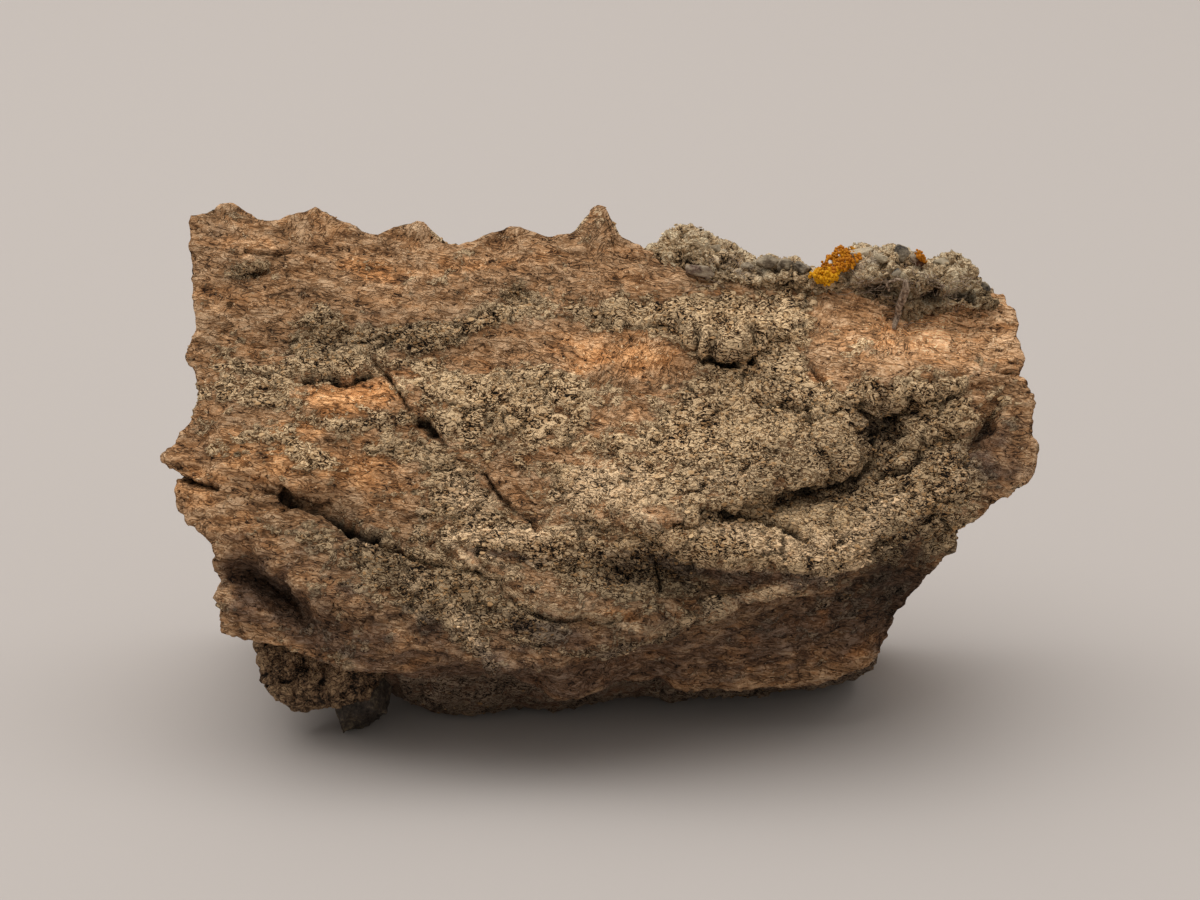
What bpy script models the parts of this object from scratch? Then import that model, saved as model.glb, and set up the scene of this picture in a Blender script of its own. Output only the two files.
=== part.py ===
"""Hadrosaur jaw fossil: a broken length of tooth-bearing bone with sediment, lichen and a rootlet on it.

The jaw is drawn on its broad face. A face point is (x, t, n): x runs along the jaw, t runs up the
face, and n stands out of it, towards the viewer. The face leans back by LEAN, and the fossil lies
on three places: the tip of the stone foot and the two ends of the flat under its back.
"""

import math

import bmesh
import bpy
import numpy as np

MM = 0.001


def mm(values):
    """Millimetres as metres, for a number or for a list of points."""
    return np.array(values, float) * MM


# ---- Driving dimensions: the whole fossil ----
LEAN = math.radians(20)  # how far the broad face leans back from upright
REST_HEIGHT = mm(35.0)  # from the surface it lies on to the middle of the face
BASE_CENTRE = mm((0.07, 6.85))  # the middle of its outline on that surface, before centring
GAP = mm(0.3)  # clearance between two pieces that touch

# ---- The outline of the broad face, as (x, t) ----
# The rim is the broken edge of the tooth battery: one peak stands between each two tooth slots.
RIM = mm([
    (-47.1, 26.3), (-46.0, 26.6), (-44.6, 27.2), (-43.7, 28.3), (-42.7, 28.6), (-41.4, 28.0),
    (-39.8, 26.7), (-37.4, 26.4), (-35.2, 26.9), (-34.0, 27.5), (-32.8, 28.2), (-31.5, 27.3),
    (-29.6, 26.2), (-28.0, 25.1), (-25.3, 24.6), (-23.6, 25.3), (-22.0, 25.7), (-21.1, 26.3),
    (-20.2, 25.3), (-18.7, 24.1), (-16.6, 23.8), (-14.3, 24.3), (-12.6, 25.1), (-10.2, 25.7),
    (-8.4, 25.1), (-6.4, 24.5), (-5.2, 24.4), (-3.2, 25.1), (-2.3, 25.7), (-1.6, 26.8),
    (-0.9, 28.0), (0.0, 28.5), (0.8, 28.1), (1.4, 26.4), (2.1, 25.0), (3.8, 24.5),
    (5.2, 23.9), (7.5, 22.0), (9.8, 20.6), (13.0, 19.9), (18.0, 19.3), (24.0, 18.9),
    (30.0, 18.6), (36.0, 18.3), (41.0, 18.0), (45.8, 17.5),
])
# The right-hand break, from the rim down.
RIGHT_BREAK = mm([
    (45.8, 17.5), (46.5, 16.2), (47.3, 15.9), (47.8, 14.2), (47.6, 13.4), (48.1, 12.2),
    (48.4, 10.2), (48.0, 8.4), (49.0, 7.6), (49.7, 6.5), (49.5, 4.8), (49.2, 3.8),
    (49.3, 2.2), (49.7, 0.4), (49.4, -1.2), (48.6, -2.8), (47.4, -3.5), (46.2, -4.7),
    (44.6, -5.7), (44.0, -7.0), (42.4, -7.6), (40.8, -8.4), (40.3, -9.5), (39.7, -11.1),
    (38.6, -11.8), (37.9, -13.0), (36.9, -14.5), (36.1, -15.8), (35.3, -17.3), (34.6, -18.6),
    (34.3, -20.0), (33.7, -21.7),
])
# The lower edge, from right to left.
LOWER_EDGE = mm([
    (33.7, -21.7), (33.0, -22.9), (32.0, -24.0), (30.4, -24.8), (28.7, -25.5), (27.0, -25.9),
    (24.6, -26.6), (21.8, -27.2), (18.0, -27.4), (14.0, -27.6), (11.4, -27.9), (9.8, -28.3),
    (8.6, -28.0), (7.4, -27.0), (4.8, -27.3), (1.6, -27.3), (0.0, -28.3), (-2.8, -28.5),
    (-5.0, -28.9), (-6.4, -28.2), (-7.6, -27.3), (-9.2, -26.4), (-11.6, -25.6), (-14.2, -25.3),
    (-16.6, -25.8), (-18.4, -26.4), (-20.6, -26.1), (-23.0, -25.1), (-25.4, -25.0), (-27.2, -24.5),
    (-29.2, -24.0), (-31.0, -23.6), (-33.4, -23.2), (-35.2, -22.4), (-37.4, -22.4), (-39.4, -21.9),
    (-41.2, -21.8), (-43.0, -21.1),
])
# The left-hand break, from the bottom up: two thin flakes of bone stand out of it.
LEFT_BREAK = mm([
    (-43.0, -21.1), (-43.2, -19.8), (-43.0, -18.6), (-43.1, -17.2), (-43.6, -16.1), (-43.3, -14.9),
    (-43.8, -13.8), (-44.3, -12.2), (-44.0, -10.5), (-44.8, -9.3), (-46.0, -8.3), (-47.1, -7.5),
    (-48.2, -6.8), (-49.0, -5.7), (-48.9, -4.4), (-48.5, -3.2), (-48.3, -2.4), (-49.4, -2.0),
    (-50.0, -1.6), (-50.5, -0.9), (-49.4, 0.2), (-48.3, 1.7), (-46.9, 3.4), (-45.6, 4.9),
    (-45.4, 5.8), (-45.5, 8.0), (-45.9, 8.9), (-46.4, 9.6), (-47.0, 10.4), (-46.8, 11.4),
    (-46.4, 12.4), (-45.8, 13.0), (-45.8, 14.3), (-46.1, 15.2), (-46.4, 16.7), (-46.7, 18.1),
    (-46.9, 19.6), (-47.2, 21.0), (-47.6, 22.3), (-47.6, 23.4), (-47.3, 24.2), (-47.4, 25.5),
    (-47.1, 26.3),
])

# ---- The outline of the back, which is simpler and smaller ----
BACK_RIM = mm([
    (-44.6, 26.0), (-42.7, 27.7), (-38.0, 25.2), (-32.8, 27.2), (-26.0, 23.6), (-21.1, 25.2),
    (-16.0, 22.8), (-10.2, 24.7), (-5.0, 23.4), (0.0, 26.9), (4.4, 22.6), (9.0, 21.2),
    (16.0, 21.0), (26.0, 20.6), (36.0, 20.0), (42.5, 18.6),
])
BACK_RIGHT = mm([(42.5, 18.6), (44.5, 10.0), (45.2, 1.0), (42.0, -8.0), (36.8, -15.0), (31.5, -22.0)])
BACK_LOWER = mm([(31.5, -27.0), (20.0, -29.4), (0.0, -29.6), (-20.0, -28.4), (-32.0, -24.2), (-41.0, -18.5)])
BACK_LEFT = mm([(-41.0, -18.0), (-42.4, -10.0), (-41.4, 0.0), (-43.0, 10.0), (-44.6, 26.0)])

# ---- Relief of the broad face ----
# The rim with its peaks levelled, from which the relief is measured.
LEVEL_RIM = mm([(-50.0, 26.4), (-20.0, 25.0), (1.0, 25.0), (8.0, 21.4), (20.0, 19.2), (50.0, 17.4)])
# The keel is the line where the face turns under; (x, t, n).
KEEL = mm([
    (-48.0, -9.5, 3.0), (-44.0, -10.5, 4.2), (-37.4, -13.3, 5.6), (-33.9, -15.5, 6.4),
    (-29.3, -18.6, 7.2), (-23.0, -21.8, 7.4), (-11.5, -24.6, 8.0), (-4.6, -22.4, 9.0),
    (4.6, -19.8, 9.6), (10.3, -17.9, 9.4), (16.1, -16.8, 9.0), (21.8, -14.4, 8.4),
    (28.7, -11.8, 7.2), (34.5, -10.0, 6.0), (39.7, -7.8, 4.6), (44.3, -5.7, 3.0), (50.0, -3.4, 1.0),
])
RIM_STANDS = mm(-2.5)  # n of the face along its rim
FACE_SWELL = mm(1.1)  # how far the face bulges half-way between rim and keel
UNDER_KEEL_BEND = 0.85  # how evenly the face turns under below the keel: 1 is a straight slope
# n of the face along its lower edge, at these x: far under on the right, a lip on the left.
LOWER_X = mm([-46, -30, -16, -6, 6, 18, 34])
LOWER_STANDS = mm([2.6, 3.4, 1.5, -2.0, -5.0, -6.5, -5.5])

# Crests: (path, height, reach above the path, reach below it). A short reach makes a step.
CRESTS = [
    # the lit lip under the hollow at the lower left
    (mm([(-43.0, -17.0), (-34.0, -20.4), (-23.0, -23.4)]), mm(1.6), mm(1.6), mm(3.0)),
    # the brow over that hollow
    (mm([(-43.0, -11.2), (-37.4, -13.0), (-31.0, -16.4)]), mm(1.3), mm(5.0), mm(0.9)),
    # the brow over the long recess in the lower middle
    (mm([(3.5, -8.2), (7.0, -8.8), (11.5, -11.4), (18.4, -12.8), (24.0, -12.4)]), mm(1.9), mm(5.0), mm(0.9)),
    # the thin plate whose broken edge crosses below the middle
    (mm([(-17.2, -10.6), (-13.8, -9.0), (-9.0, -8.6), (-5.2, -9.2)]), mm(0.9), mm(0.5), mm(5.0)),
    # the clay shelf above the gash
    (
        mm([(10.4, -7.4), (18.4, -5.2), (26.0, -3.4), (30.2, 0.8), (30.8, 4.8), (35.0, 5.8)]),
        mm(1.8), mm(6.0), mm(0.7),
    ),
    # the clay nodules of the upper right
    (mm([(11.0, 12.6), (15.0, 10.4), (18.0, 11.6)]), mm(1.7), mm(3.4), mm(1.0)),
]
# Hollows and swellings: (x, t, reach along, reach across, turn in degrees, depth). Depth is
# negative where the surface swells.
HOLLOWS = [
    (-36.4, -16.6, 6.6, 1.9, -43, 4.2),  # the hollow at the lower left
    (6.0, -14.6, 10.5, 2.3, -9, 3.6),  # the long recess in the lower middle
    (32.6, 2.8, 2.9, 2.3, 35, 5.0),  # the deep end of the gash
    (24.6, -4.6, 7.2, 1.4, 22, 3.2),  # the gash running left
    (38.6, 0.6, 4.2, 1.0, 24, 1.8),  # the gash running right
    (43.8, 2.4, 4.0, 1.0, 58, 2.2),  # the groove before the right-hand break
    (-40.4, 20.2, 2.6, 1.0, 8, 2.0),  # the pit near the top left corner
    (-9.0, 17.3, 1.6, 1.2, 40, 1.6),  # the pit in the upper middle
    (-29.0, 11.6, 6.0, 2.0, 6, 1.2),  # the clay-filled hollow on the left
    (-31.6, -6.4, 4.5, 0.8, -24, 1.4),  # the gaping part of the lower crack
    (37.0, 15.2, 9.0, 2.6, 4, 1.3),  # the hollow under the cap of sediment
    (33.0, -16.0, 5.0, 6.0, 40, 2.6),  # the hollow of the shaded lower right
    (39.0, 8.0, 6.0, 4.0, 0, -1.2),  # the swelling at the right
    (-6.0, 3.0, 14.0, 8.0, -20, -1.0),  # the swelling in the middle
    (-2.0, -27.0, 4.0, 2.0, 0, -2.6),  # the lump under the lower edge
]

# ---- The tooth slots of the back ----
RIDGES = mm([-54.0, -42.7, -32.8, -21.1, -10.2, 0.0, 10.4])  # x of each ridge between two slots
SLOT_DEPTH = mm(2.6)
SLOT_LENGTH, SLOT_FADE = 0.72, 0.25  # shares of the height: how far the slots run down, and die away over
WALL_AT_RIM = mm(5.5)  # thickness of the slotted wall at its rim
TROUGH_AT_RIM = mm(21.0)  # thickness where the sediment fills the trough
TROUGH_FROM, TROUGH_TO = mm((2.0, 13.0))  # x over which the wall gives way to the trough
TROUGH_DEPTH = mm(6.5)
BACK_DEPTH = mm(38.0)  # thickness at the lower edge of the back
BACK_BEND = 0.8  # how evenly it thickens downwards: 1 is a straight slope
BACK_FLAT = 0.85, 1.0  # shares of the height over which the hollows below give way to a plain edge
BACK_HOLLOWS = [
    (27.0, 6.0, 9.0, 5.0, 14, 2.4),  # the flaked place below the trough
    (12.0, -8.0, 15.0, 1.8, 8, 1.6),  # the long step across the lower back
    (-14.0, -10.0, 14.0, 3.0, -7, -1.8),  # the swelling below the tooth slots
    (-36.0, -3.0, 5.0, 6.0, 30, 2.2),  # the broken corner at the jaw's other end
    (34.0, -14.0, 5.0, 6.0, -30, 1.6),  # the broken corner low on the right
]

# ---- The broken edge all round, between the front and the back ----
# How the share of the way back goes on as n: bigger numbers leave the edge's corner squarer.
EDGE_SQUARE = 3
UNDERSIDE_FROM, UNDERSIDE_TO = mm((-12.0, -20.0))  # t over which the edge becomes the underside
BELLY, BELLY_AT, BELLY_REACH = mm((3.8, -17.0, 9.0))  # how far the underside hangs, at which x, and its reach
BELLY_SET_BACK = 1.4  # above 1 the belly hangs nearer the back
UNDERCUT = mm(1.3)  # how far the underside is hollowed behind the lower edge
UNDERCUT_AT, UNDERCUT_REACH = 0.16, 0.1  # where that is, as shares of the way back
TOPSIDE_FROM, TOPSIDE_TO = mm((14.0, 17.0))  # t over which the edge becomes the trough's floor
TROUGH_ENDS_FROM, TROUGH_ENDS_TO = mm((39.0, 45.0))  # x over which the trough ends at the right

# ---- The natural unevenness: (size of the lumps, how far they stand, seed) ----
UNEVEN = [(mm(13.0), mm(1.1), 3), (mm(5.5), mm(0.55), 8)]
QUIET_HEIGHT = mm(2.5)  # the unevenness dies away this close to the surface it lies on

# ---- The cap of sediment in the trough, as lines of (x, t) or (x, n) ----
CAP_TOP = mm([
    (4.6, 22.6), (6.2, 23.6), (7.5, 24.6), (8.4, 25.4), (9.4, 25.7), (11.0, 25.3), (13.0, 24.5),
    (15.0, 24.0), (17.0, 23.0), (18.2, 21.7), (20.0, 22.2), (22.0, 22.1), (23.6, 21.2), (25.6, 20.6),
    (27.6, 21.4), (29.4, 23.0), (31.0, 23.6), (33.0, 22.9), (34.2, 23.5), (35.6, 23.2), (37.4, 21.8),
    (39.4, 22.2), (41.0, 22.6), (43.0, 21.2), (44.6, 19.2), (45.6, 17.8),
])
CAP_LIP = mm([
    (4.6, 21.6), (8.0, 20.6), (12.0, 19.9), (16.0, 19.6), (24.0, 19.2), (28.0, 19.0), (31.0, 18.4),
    (35.0, 18.3), (37.5, 18.4), (39.6, 17.3), (43.0, 17.0), (45.6, 17.0),
])
CAP_FRONT = mm([
    (4.6, -3.4), (8.0, -1.8), (13.0, -0.6), (20.0, -0.8), (28.0, 0.0), (32.0, 2.0), (42.0, 1.8), (45.6, -1.0),
])
CAP_BACK = mm([(4.6, -6.0), (9.0, -15.0), (16.0, -21.0), (36.0, -20.5), (42.0, -14.0), (45.6, -7.0)])
CAP_UNDER_LIP, CAP_IN_TROUGH = mm((1.2, 9.0))  # how far it reaches below its lip: in front, and in the middle
CAP_FILLS, CAP_RUNS_OUT = mm((14.0, 36.0)), mm((4.6, 43.0))  # x between which it fills the trough, or is in it
CAP_ROUND = 2.6  # how square its section is: 2 is an ellipse
CAP_UNEVEN = [(mm(4.6), mm(0.9), 21), (mm(2.2), mm(0.5), 22)]
CAP_STATIONS, CAP_AROUND = 23, 16
CAP_END = 0.06  # how far from its very end the first ring is, as an angle of the cosine that spaces them

# ---- The stone foot under the left end, as (x, t, n) and (half width, half height, half depth) ----
FOOT_LUMP = mm((-32.4, -24.8, -10.0)), mm((7.8, 5.9, 8.0))
FOOT_TIP = mm((-28.2, -28.4, -9.0)), mm((4.4, 6.5, 4.6))
FOOT_UNEVEN = [(mm(6.0), mm(0.9), 31), (mm(2.6), mm(0.35), 32)]
FOOT_LUMP_MESH, FOOT_TIP_MESH = (9, 14), (8, 11)  # rings along x, and points round each
EGG_END = 0.25  # polar angle of an egg's first ring

# ---- The lichen, on the cap. Places on the cap are (x, degrees round it) ----
# (middle, reach along, reach across, how thick)
LICHEN_PATCH = (mm(27.2), 36), (mm(2.3), 24), (mm(-1.5), 15), mm(1.5)
LICHEN_FLECK = (mm(36.2), 58), (mm(0.7), 0), (mm(0.0), 5), mm(0.45)
LICHEN_ROOTED = mm(0.7)  # how far it reaches into the cap before it is fitted to it
LICHEN_RINGS, LICHEN_AROUND = 5, 15
# Its outline swings in and out by two waves: (share of its reach, waves round it, where they start).
LICHEN_SCALLOPS = [(0.13, 5, 0.7), (0.07, 8, 0.0)]
LICHEN_AT_EDGE = 0.4  # its thickness at the edge, as a share of the thickness in the middle
LICHEN_FOLDS, LICHEN_FOLD_HEIGHT = 5, 0.2  # folds that spiral over it, and how far they stand, as a share

# ---- The rootlet, as (x, t, height over the face) ----
ROOTLET = mm([(34.6, 16.2, 2.2), (34.3, 15.4, 1.8), (34.0, 14.6, 1.3), (33.8, 13.8, 1.0), (33.6, 12.9, 0.75)])
ROOTLET_RADIUS = mm(0.42)
ROOTLET_TAPER = (0.9, 1.1, 0.95, 0.8, 0.5)
ROOTLET_AROUND = 8

# ---- How finely the surfaces are drawn ----
COLUMNS, ROWS, EDGE_ROWS = 60, 22, 6
JOINED_WITHIN = mm(0.01)  # points closer than this become one
SHARP_ANGLE = math.radians(35)  # edges that turn by more than this stay sharp

# name: (base colour, roughness)
FINISHES = {
    "fossil_bone": ((0.35, 0.20, 0.10), 0.85),
    "sediment": ((0.23, 0.18, 0.12), 0.95),
    "ironstone": ((0.06, 0.045, 0.035), 0.8),
    "lichen": ((0.55, 0.28, 0.02), 0.9),
    "root": ((0.22, 0.16, 0.12), 0.85),
}


def clear_scene():
    for obj in list(bpy.data.objects):
        bpy.data.objects.remove(obj)


def smooth_step(low, high, value):
    """0 below low, 1 above high and a smooth rise between."""
    share = np.clip((value - low) / (high - low), 0.0, 1.0)
    return share * share * (3 - 2 * share)


def corner_value(cell, seed, salt):
    """A fixed number from -1 to 1 for each whole-number cell, the same on every run."""
    low_bits = 2**32 - 1
    mixed = cell[..., 0] * 73856093 ^ cell[..., 1] * 19349663 ^ cell[..., 2] * 83492791
    mixed = (mixed ^ (seed * 2654435761 + salt * 97531)) & low_bits
    mixed = ((mixed ^ (mixed >> 13)) * 1274126177) & low_bits
    mixed = mixed ^ (mixed >> 16)
    return mixed / 2**31 - 1


def lumps(points, seed):
    """Smooth 3-D noise of about -1 to 1: a random slope at each whole-number corner, blended."""
    cell = np.floor(points).astype(np.int64)
    inside = points - cell
    ease = inside**3 * (inside * (inside * 6 - 15) + 10)
    total = np.zeros(points.shape[:-1])
    for corner in np.ndindex(2, 2, 2):
        corner = np.array(corner)
        share = np.prod(np.where(corner == 1, ease, 1 - ease), axis=-1)
        slope = np.stack([corner_value(cell + corner, seed, salt) for salt in range(3)], axis=-1)
        total += share * (slope * (inside - corner)).sum(axis=-1)
    return total * 1.5


def unevenness(points, layers):
    """How far each point is pushed, in three directions, by layers of (size, height, seed)."""
    push = np.zeros_like(points)
    for size, height, seed in layers:
        for axis in range(3):
            push[..., axis] += height * lumps(points / size, seed * 10 + axis)
    return push


def beside(path, x, t):
    """Distance of each point from a path, positive above it as the path runs left to right."""
    best = np.full(np.shape(x), np.inf)
    side = np.ones(np.shape(x))
    for (x0, t0), (x1, t1) in zip(path[:-1], path[1:]):
        along_x, along_t = x1 - x0, t1 - t0
        share = ((x - x0) * along_x + (t - t0) * along_t) / (along_x**2 + along_t**2)
        share = np.clip(share, 0, 1)
        away_x, away_t = x - x0 - share * along_x, t - t0 - share * along_t
        distance = np.hypot(away_x, away_t)
        nearer = distance < best
        best = np.where(nearer, distance, best)
        side = np.where(nearer, np.sign(along_x * away_t - along_t * away_x), side)
    return best * side


def hollowed(x, t, hollows):
    """How deep the hollows are at each point; each is a bell, longer one way than the other."""
    total = np.zeros(np.shape(x))
    for centre_x, centre_t, reach_x, reach_t, turn, depth in hollows:
        angle = math.radians(turn)
        away_x, away_t = x - mm(centre_x), t - mm(centre_t)
        along = (away_x * math.cos(angle) + away_t * math.sin(angle)) / mm(reach_x)
        across = (away_t * math.cos(angle) - away_x * math.sin(angle)) / mm(reach_t)
        total += mm(depth) * np.exp(-(along**2 + across**2))
    return total


def face_relief(x, t):
    """n of the broad face: a plane from rim to keel, a turn under it, then crests and hollows."""
    rim = np.interp(x, LEVEL_RIM[:, 0], LEVEL_RIM[:, 1])
    edge = np.interp(x, LOWER_EDGE[::-1, 0], LOWER_EDGE[::-1, 1])
    keel = np.interp(x, KEEL[:, 0], KEEL[:, 1])
    keel_stands = np.interp(x, KEEL[:, 0], KEEL[:, 2])
    up = np.clip((t - keel) / (rim - keel), 0, 1.5)
    down = np.clip((keel - t) / np.maximum(keel - edge, MM), 0, 1)
    above = keel_stands + (RIM_STANDS - keel_stands) * up + FACE_SWELL * 4 * up * (1 - up)
    lower = np.interp(x, LOWER_X, LOWER_STANDS)
    below = keel_stands + (lower - keel_stands) * down**UNDER_KEEL_BEND
    relief = np.where(t > keel, above, below)
    for path, height, reach_above, reach_below in CRESTS:
        distance = beside(path, x, t)
        reach = np.where(distance > 0, reach_above, reach_below)
        relief = relief + height * np.exp(-((distance / reach) ** 2))
    return relief - hollowed(x, t, HOLLOWS)


def thickness_at_rim(x):
    return WALL_AT_RIM + (TROUGH_AT_RIM - WALL_AT_RIM) * smooth_step(TROUGH_FROM, TROUGH_TO, x)


def back_relief(x, t):
    """n of the back: a wall that thickens downwards, with a round slot between each two ridges."""
    rim = np.interp(x, BACK_RIM[:, 0], BACK_RIM[:, 1])
    edge = np.interp(x, BACK_LOWER[::-1, 0], BACK_LOWER[::-1, 1])
    down = np.clip((rim - t) / (rim - edge), 0, 1)
    thick = thickness_at_rim(x)
    relief = -(thick + (BACK_DEPTH - thick) * down**BACK_BEND)
    place = np.interp(x, RIDGES, np.arange(len(RIDGES)))
    slot = np.abs(np.sin(np.pi * place)) * (1 - smooth_step(SLOT_LENGTH - SLOT_FADE, SLOT_LENGTH, down))
    slot = slot * (1 - smooth_step(TROUGH_FROM, TROUGH_TO, x))
    worn = hollowed(x, t, BACK_HOLLOWS) * smooth_step(BACK_FLAT[1], BACK_FLAT[0], down)
    return relief + SLOT_DEPTH * slot + worn


def on_surface(x, t, n):
    """World points of face points: the face leans back, and the fossil stands on z = 0."""
    world_x = x - BASE_CENTRE[0]
    world_y = t * math.sin(LEAN) - n * math.cos(LEAN) - BASE_CENTRE[1]
    world_z = t * math.cos(LEAN) + n * math.sin(LEAN) + REST_HEIGHT
    return np.stack([world_x, world_y, world_z], axis=-1)


def spread(path, count):
    """count + 1 points evenly along a path."""
    steps = np.hypot(*np.diff(path, axis=0).T)
    so_far = np.concatenate([[0], np.cumsum(steps)])
    wanted = np.linspace(0, so_far[-1], count + 1)
    return np.stack([np.interp(wanted, so_far, path[:, i]) for i in range(2)], axis=-1)


def at_columns(path, share):
    """Points of a path that runs left to right, at these shares of its width."""
    x = path[0, 0] + share * (path[-1, 0] - path[0, 0])
    return np.stack([x, np.interp(x, path[:, 0], path[:, 1])], axis=-1)


def columns_on_ridges():
    """Shares of the jaw's length for the columns, moved so that each rim peak has one."""
    share = np.linspace(0, 1, COLUMNS + 1)
    width = RIM[-1, 0] - RIM[0, 0]
    for ridge in RIDGES[1:-1]:
        place = (ridge - RIM[0, 0]) / width
        share[np.argmin(np.abs(share - place))] = place
    return share


def fill_outline(lower, right, rim, left):
    """A grid of (x, t) inside four edges: the mean of the two ways across, less the corners' mean."""
    columns, rows = len(lower), len(left)
    a = np.linspace(0, 1, columns)[None, :, None]
    b = np.linspace(0, 1, rows)[:, None, None]
    upright = (1 - b) * lower[None] + b * rim[None]
    level = (1 - a) * left[:, None] + a * right[:, None]
    corners = (1 - b) * ((1 - a) * lower[0] + a * lower[-1]) + b * ((1 - a) * rim[0] + a * rim[-1])
    return upright + level - corners


def round_the_edge(grid):
    """The outer points of a grid of rows and columns, anticlockwise from its lower left corner."""
    return np.concatenate([grid[0, :-1], grid[:-1, -1], grid[-1, :0:-1], grid[:0:-1, 0]])


def above_ground(t, n):
    """t, raised where a face point would lie below the surface that the fossil stands on."""
    return np.maximum(t, (-REST_HEIGHT - n * math.sin(LEAN)) / math.cos(LEAN))


def edge_rings(front, back, front_n, back_n):
    """Rings of face points that carry the front's outer edge round to the back's."""
    rings = []
    lowest = smooth_step(UNDERSIDE_FROM, UNDERSIDE_TO, front[:, 1])
    belly = BELLY * lowest * np.exp(-(((front[:, 0] - BELLY_AT) / BELLY_REACH) ** 2))
    highest = smooth_step(TOPSIDE_FROM, TOPSIDE_TO, front[:, 1])
    trough = TROUGH_DEPTH * highest * smooth_step(TROUGH_FROM, TROUGH_TO, front[:, 0])
    trough = trough * (1 - smooth_step(TROUGH_ENDS_FROM, TROUGH_ENDS_TO, front[:, 0]))
    for share in np.linspace(0, 1, EDGE_ROWS + 1)[1:-1]:
        turn = 1 - (1 - share) ** EDGE_SQUARE
        sag = belly * math.sin(math.pi * share**BELLY_SET_BACK) + trough * math.sin(math.pi * share)
        groove = UNDERCUT * lowest * math.exp(-(((share - UNDERCUT_AT) / UNDERCUT_REACH) ** 2))
        x = front[:, 0] + (back[:, 0] - front[:, 0]) * turn
        t = front[:, 1] + (back[:, 1] - front[:, 1]) * turn - sag + groove
        n = front_n + (back_n - front_n) * share
        rings.append(np.stack([x, above_ground(t, n), n], axis=-1))
    return rings


def grid_faces(index):
    """Four-cornered faces of a grid of point numbers, facing the side they run anticlockwise on."""
    return np.stack([index[:-1, :-1], index[:-1, 1:], index[1:, 1:], index[1:, :-1]], axis=-1).reshape(-1, 4)


def back_outline(share, on_the_ground):
    """The grid of the back; its lower edge runs on the ground, or where BACK_LOWER has it."""
    lower = at_columns(BACK_LOWER[::-1], share)
    if on_the_ground:
        lower[:, 1] = above_ground(lower[:, 1], -BACK_DEPTH)
    right, left = spread(BACK_RIGHT[::-1], ROWS), spread(BACK_LEFT, ROWS)
    right[0], left[0] = lower[-1], lower[0]
    return fill_outline(lower, right, at_columns(BACK_RIM, share), left)


def jaw_surface():
    """Points and faces of the jaw: the front, the rings round its edge, and the back."""
    share = columns_on_ridges()
    front = fill_outline(
        at_columns(LOWER_EDGE[::-1], share),
        spread(RIGHT_BREAK[::-1], ROWS),
        at_columns(RIM, share),
        spread(LEFT_BREAK, ROWS),
    )
    front_n = face_relief(front[..., 0], front[..., 1])
    back = back_outline(share, True)
    back_n = back_relief(back[..., 0], back[..., 1])
    back[..., 1] = above_ground(back[..., 1], back_n)
    rings = edge_rings(
        round_the_edge(front),
        round_the_edge(back_outline(share, False)),
        round_the_edge(front_n),
        round_the_edge(back_n),
    )
    face_points = np.concatenate(
        [np.concatenate([front, front_n[..., None]], axis=-1).reshape(-1, 3)]
        + rings
        + [np.concatenate([back, back_n[..., None]], axis=-1).reshape(-1, 3)]
    )
    count = (COLUMNS + 1) * (ROWS + 1)
    front_index = np.arange(count).reshape(ROWS + 1, COLUMNS + 1)
    around = len(round_the_edge(front_index))
    back_index = front_index + count + around * len(rings)
    loops = [round_the_edge(front_index)]
    loops += [np.arange(around) + count + around * i for i in range(len(rings))]
    loops += [round_the_edge(back_index)]
    band = np.stack([np.append(loop, loop[0]) for loop in loops])
    inward = np.concatenate([grid_faces(band), grid_faces(back_index)])
    faces = np.concatenate([grid_faces(front_index), inward[:, ::-1]])
    return roughen(on_surface(*face_points.T), UNEVEN), faces


def roughen(points, layers):
    """Points pushed about by the unevenness, which dies away near the surface they stand on."""
    quiet = smooth_step(0.0, QUIET_HEIGHT, points[..., 2])[..., None]
    moved = points + unevenness(points, layers) * quiet
    moved[..., 2] = np.maximum(moved[..., 2], 0.0)
    return moved


def make_object(name, points, faces, finish):
    """A mesh object of these points and faces, with its own material."""
    mesh = bpy.data.meshes.new(name)
    mesh.from_pydata(points.reshape(-1, 3).tolist(), [], [list(map(int, face)) for face in faces])
    obj = bpy.data.objects.new(name, mesh)
    bpy.context.scene.collection.objects.link(obj)
    mesh.materials.append(make_material(name, finish))
    tidy(obj)
    return obj


def tidy(obj):
    """Joins doubled points, splits faces into triangles and turns every face outwards."""
    mesh = bmesh.new()
    mesh.from_mesh(obj.data)
    bmesh.ops.remove_doubles(mesh, verts=mesh.verts, dist=JOINED_WITHIN)
    bmesh.ops.triangulate(mesh, faces=mesh.faces)
    bmesh.ops.recalc_face_normals(mesh, faces=mesh.faces)
    if mesh.calc_volume(signed=True) < 0:
        bmesh.ops.reverse_faces(mesh, faces=mesh.faces)
    mesh.to_mesh(obj.data)
    mesh.free()
    obj.data.shade_smooth()
    obj.data.set_sharp_from_angle(angle=SHARP_ANGLE)


def make_material(name, finish):
    colour, roughness = FINISHES[finish]
    material = bpy.data.materials.new(name)
    material.use_nodes = True
    shader = material.node_tree.nodes["Principled BSDF"]
    shader.inputs["Base Color"].default_value = (*colour, 1.0)
    shader.inputs["Roughness"].default_value = roughness
    return material


def closed_tube(sections):
    """Points and faces of a closed skin over rings of points, with a middle point at each end."""
    rings, around = sections.shape[:2]
    ends = np.stack([sections[0].mean(axis=0), sections[-1].mean(axis=0)])
    index = np.arange(rings * around).reshape(rings, around)
    sides = grid_faces(np.concatenate([index, index[:, :1]], axis=1))
    start = [(rings * around, index[0, i], index[0, i - 1]) for i in range(around)]
    finish = [(rings * around + 1, index[-1, i - 1], index[-1, i]) for i in range(around)]
    return np.concatenate([sections.reshape(-1, 3), ends]), [*sides.tolist(), *start, *finish]


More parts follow.
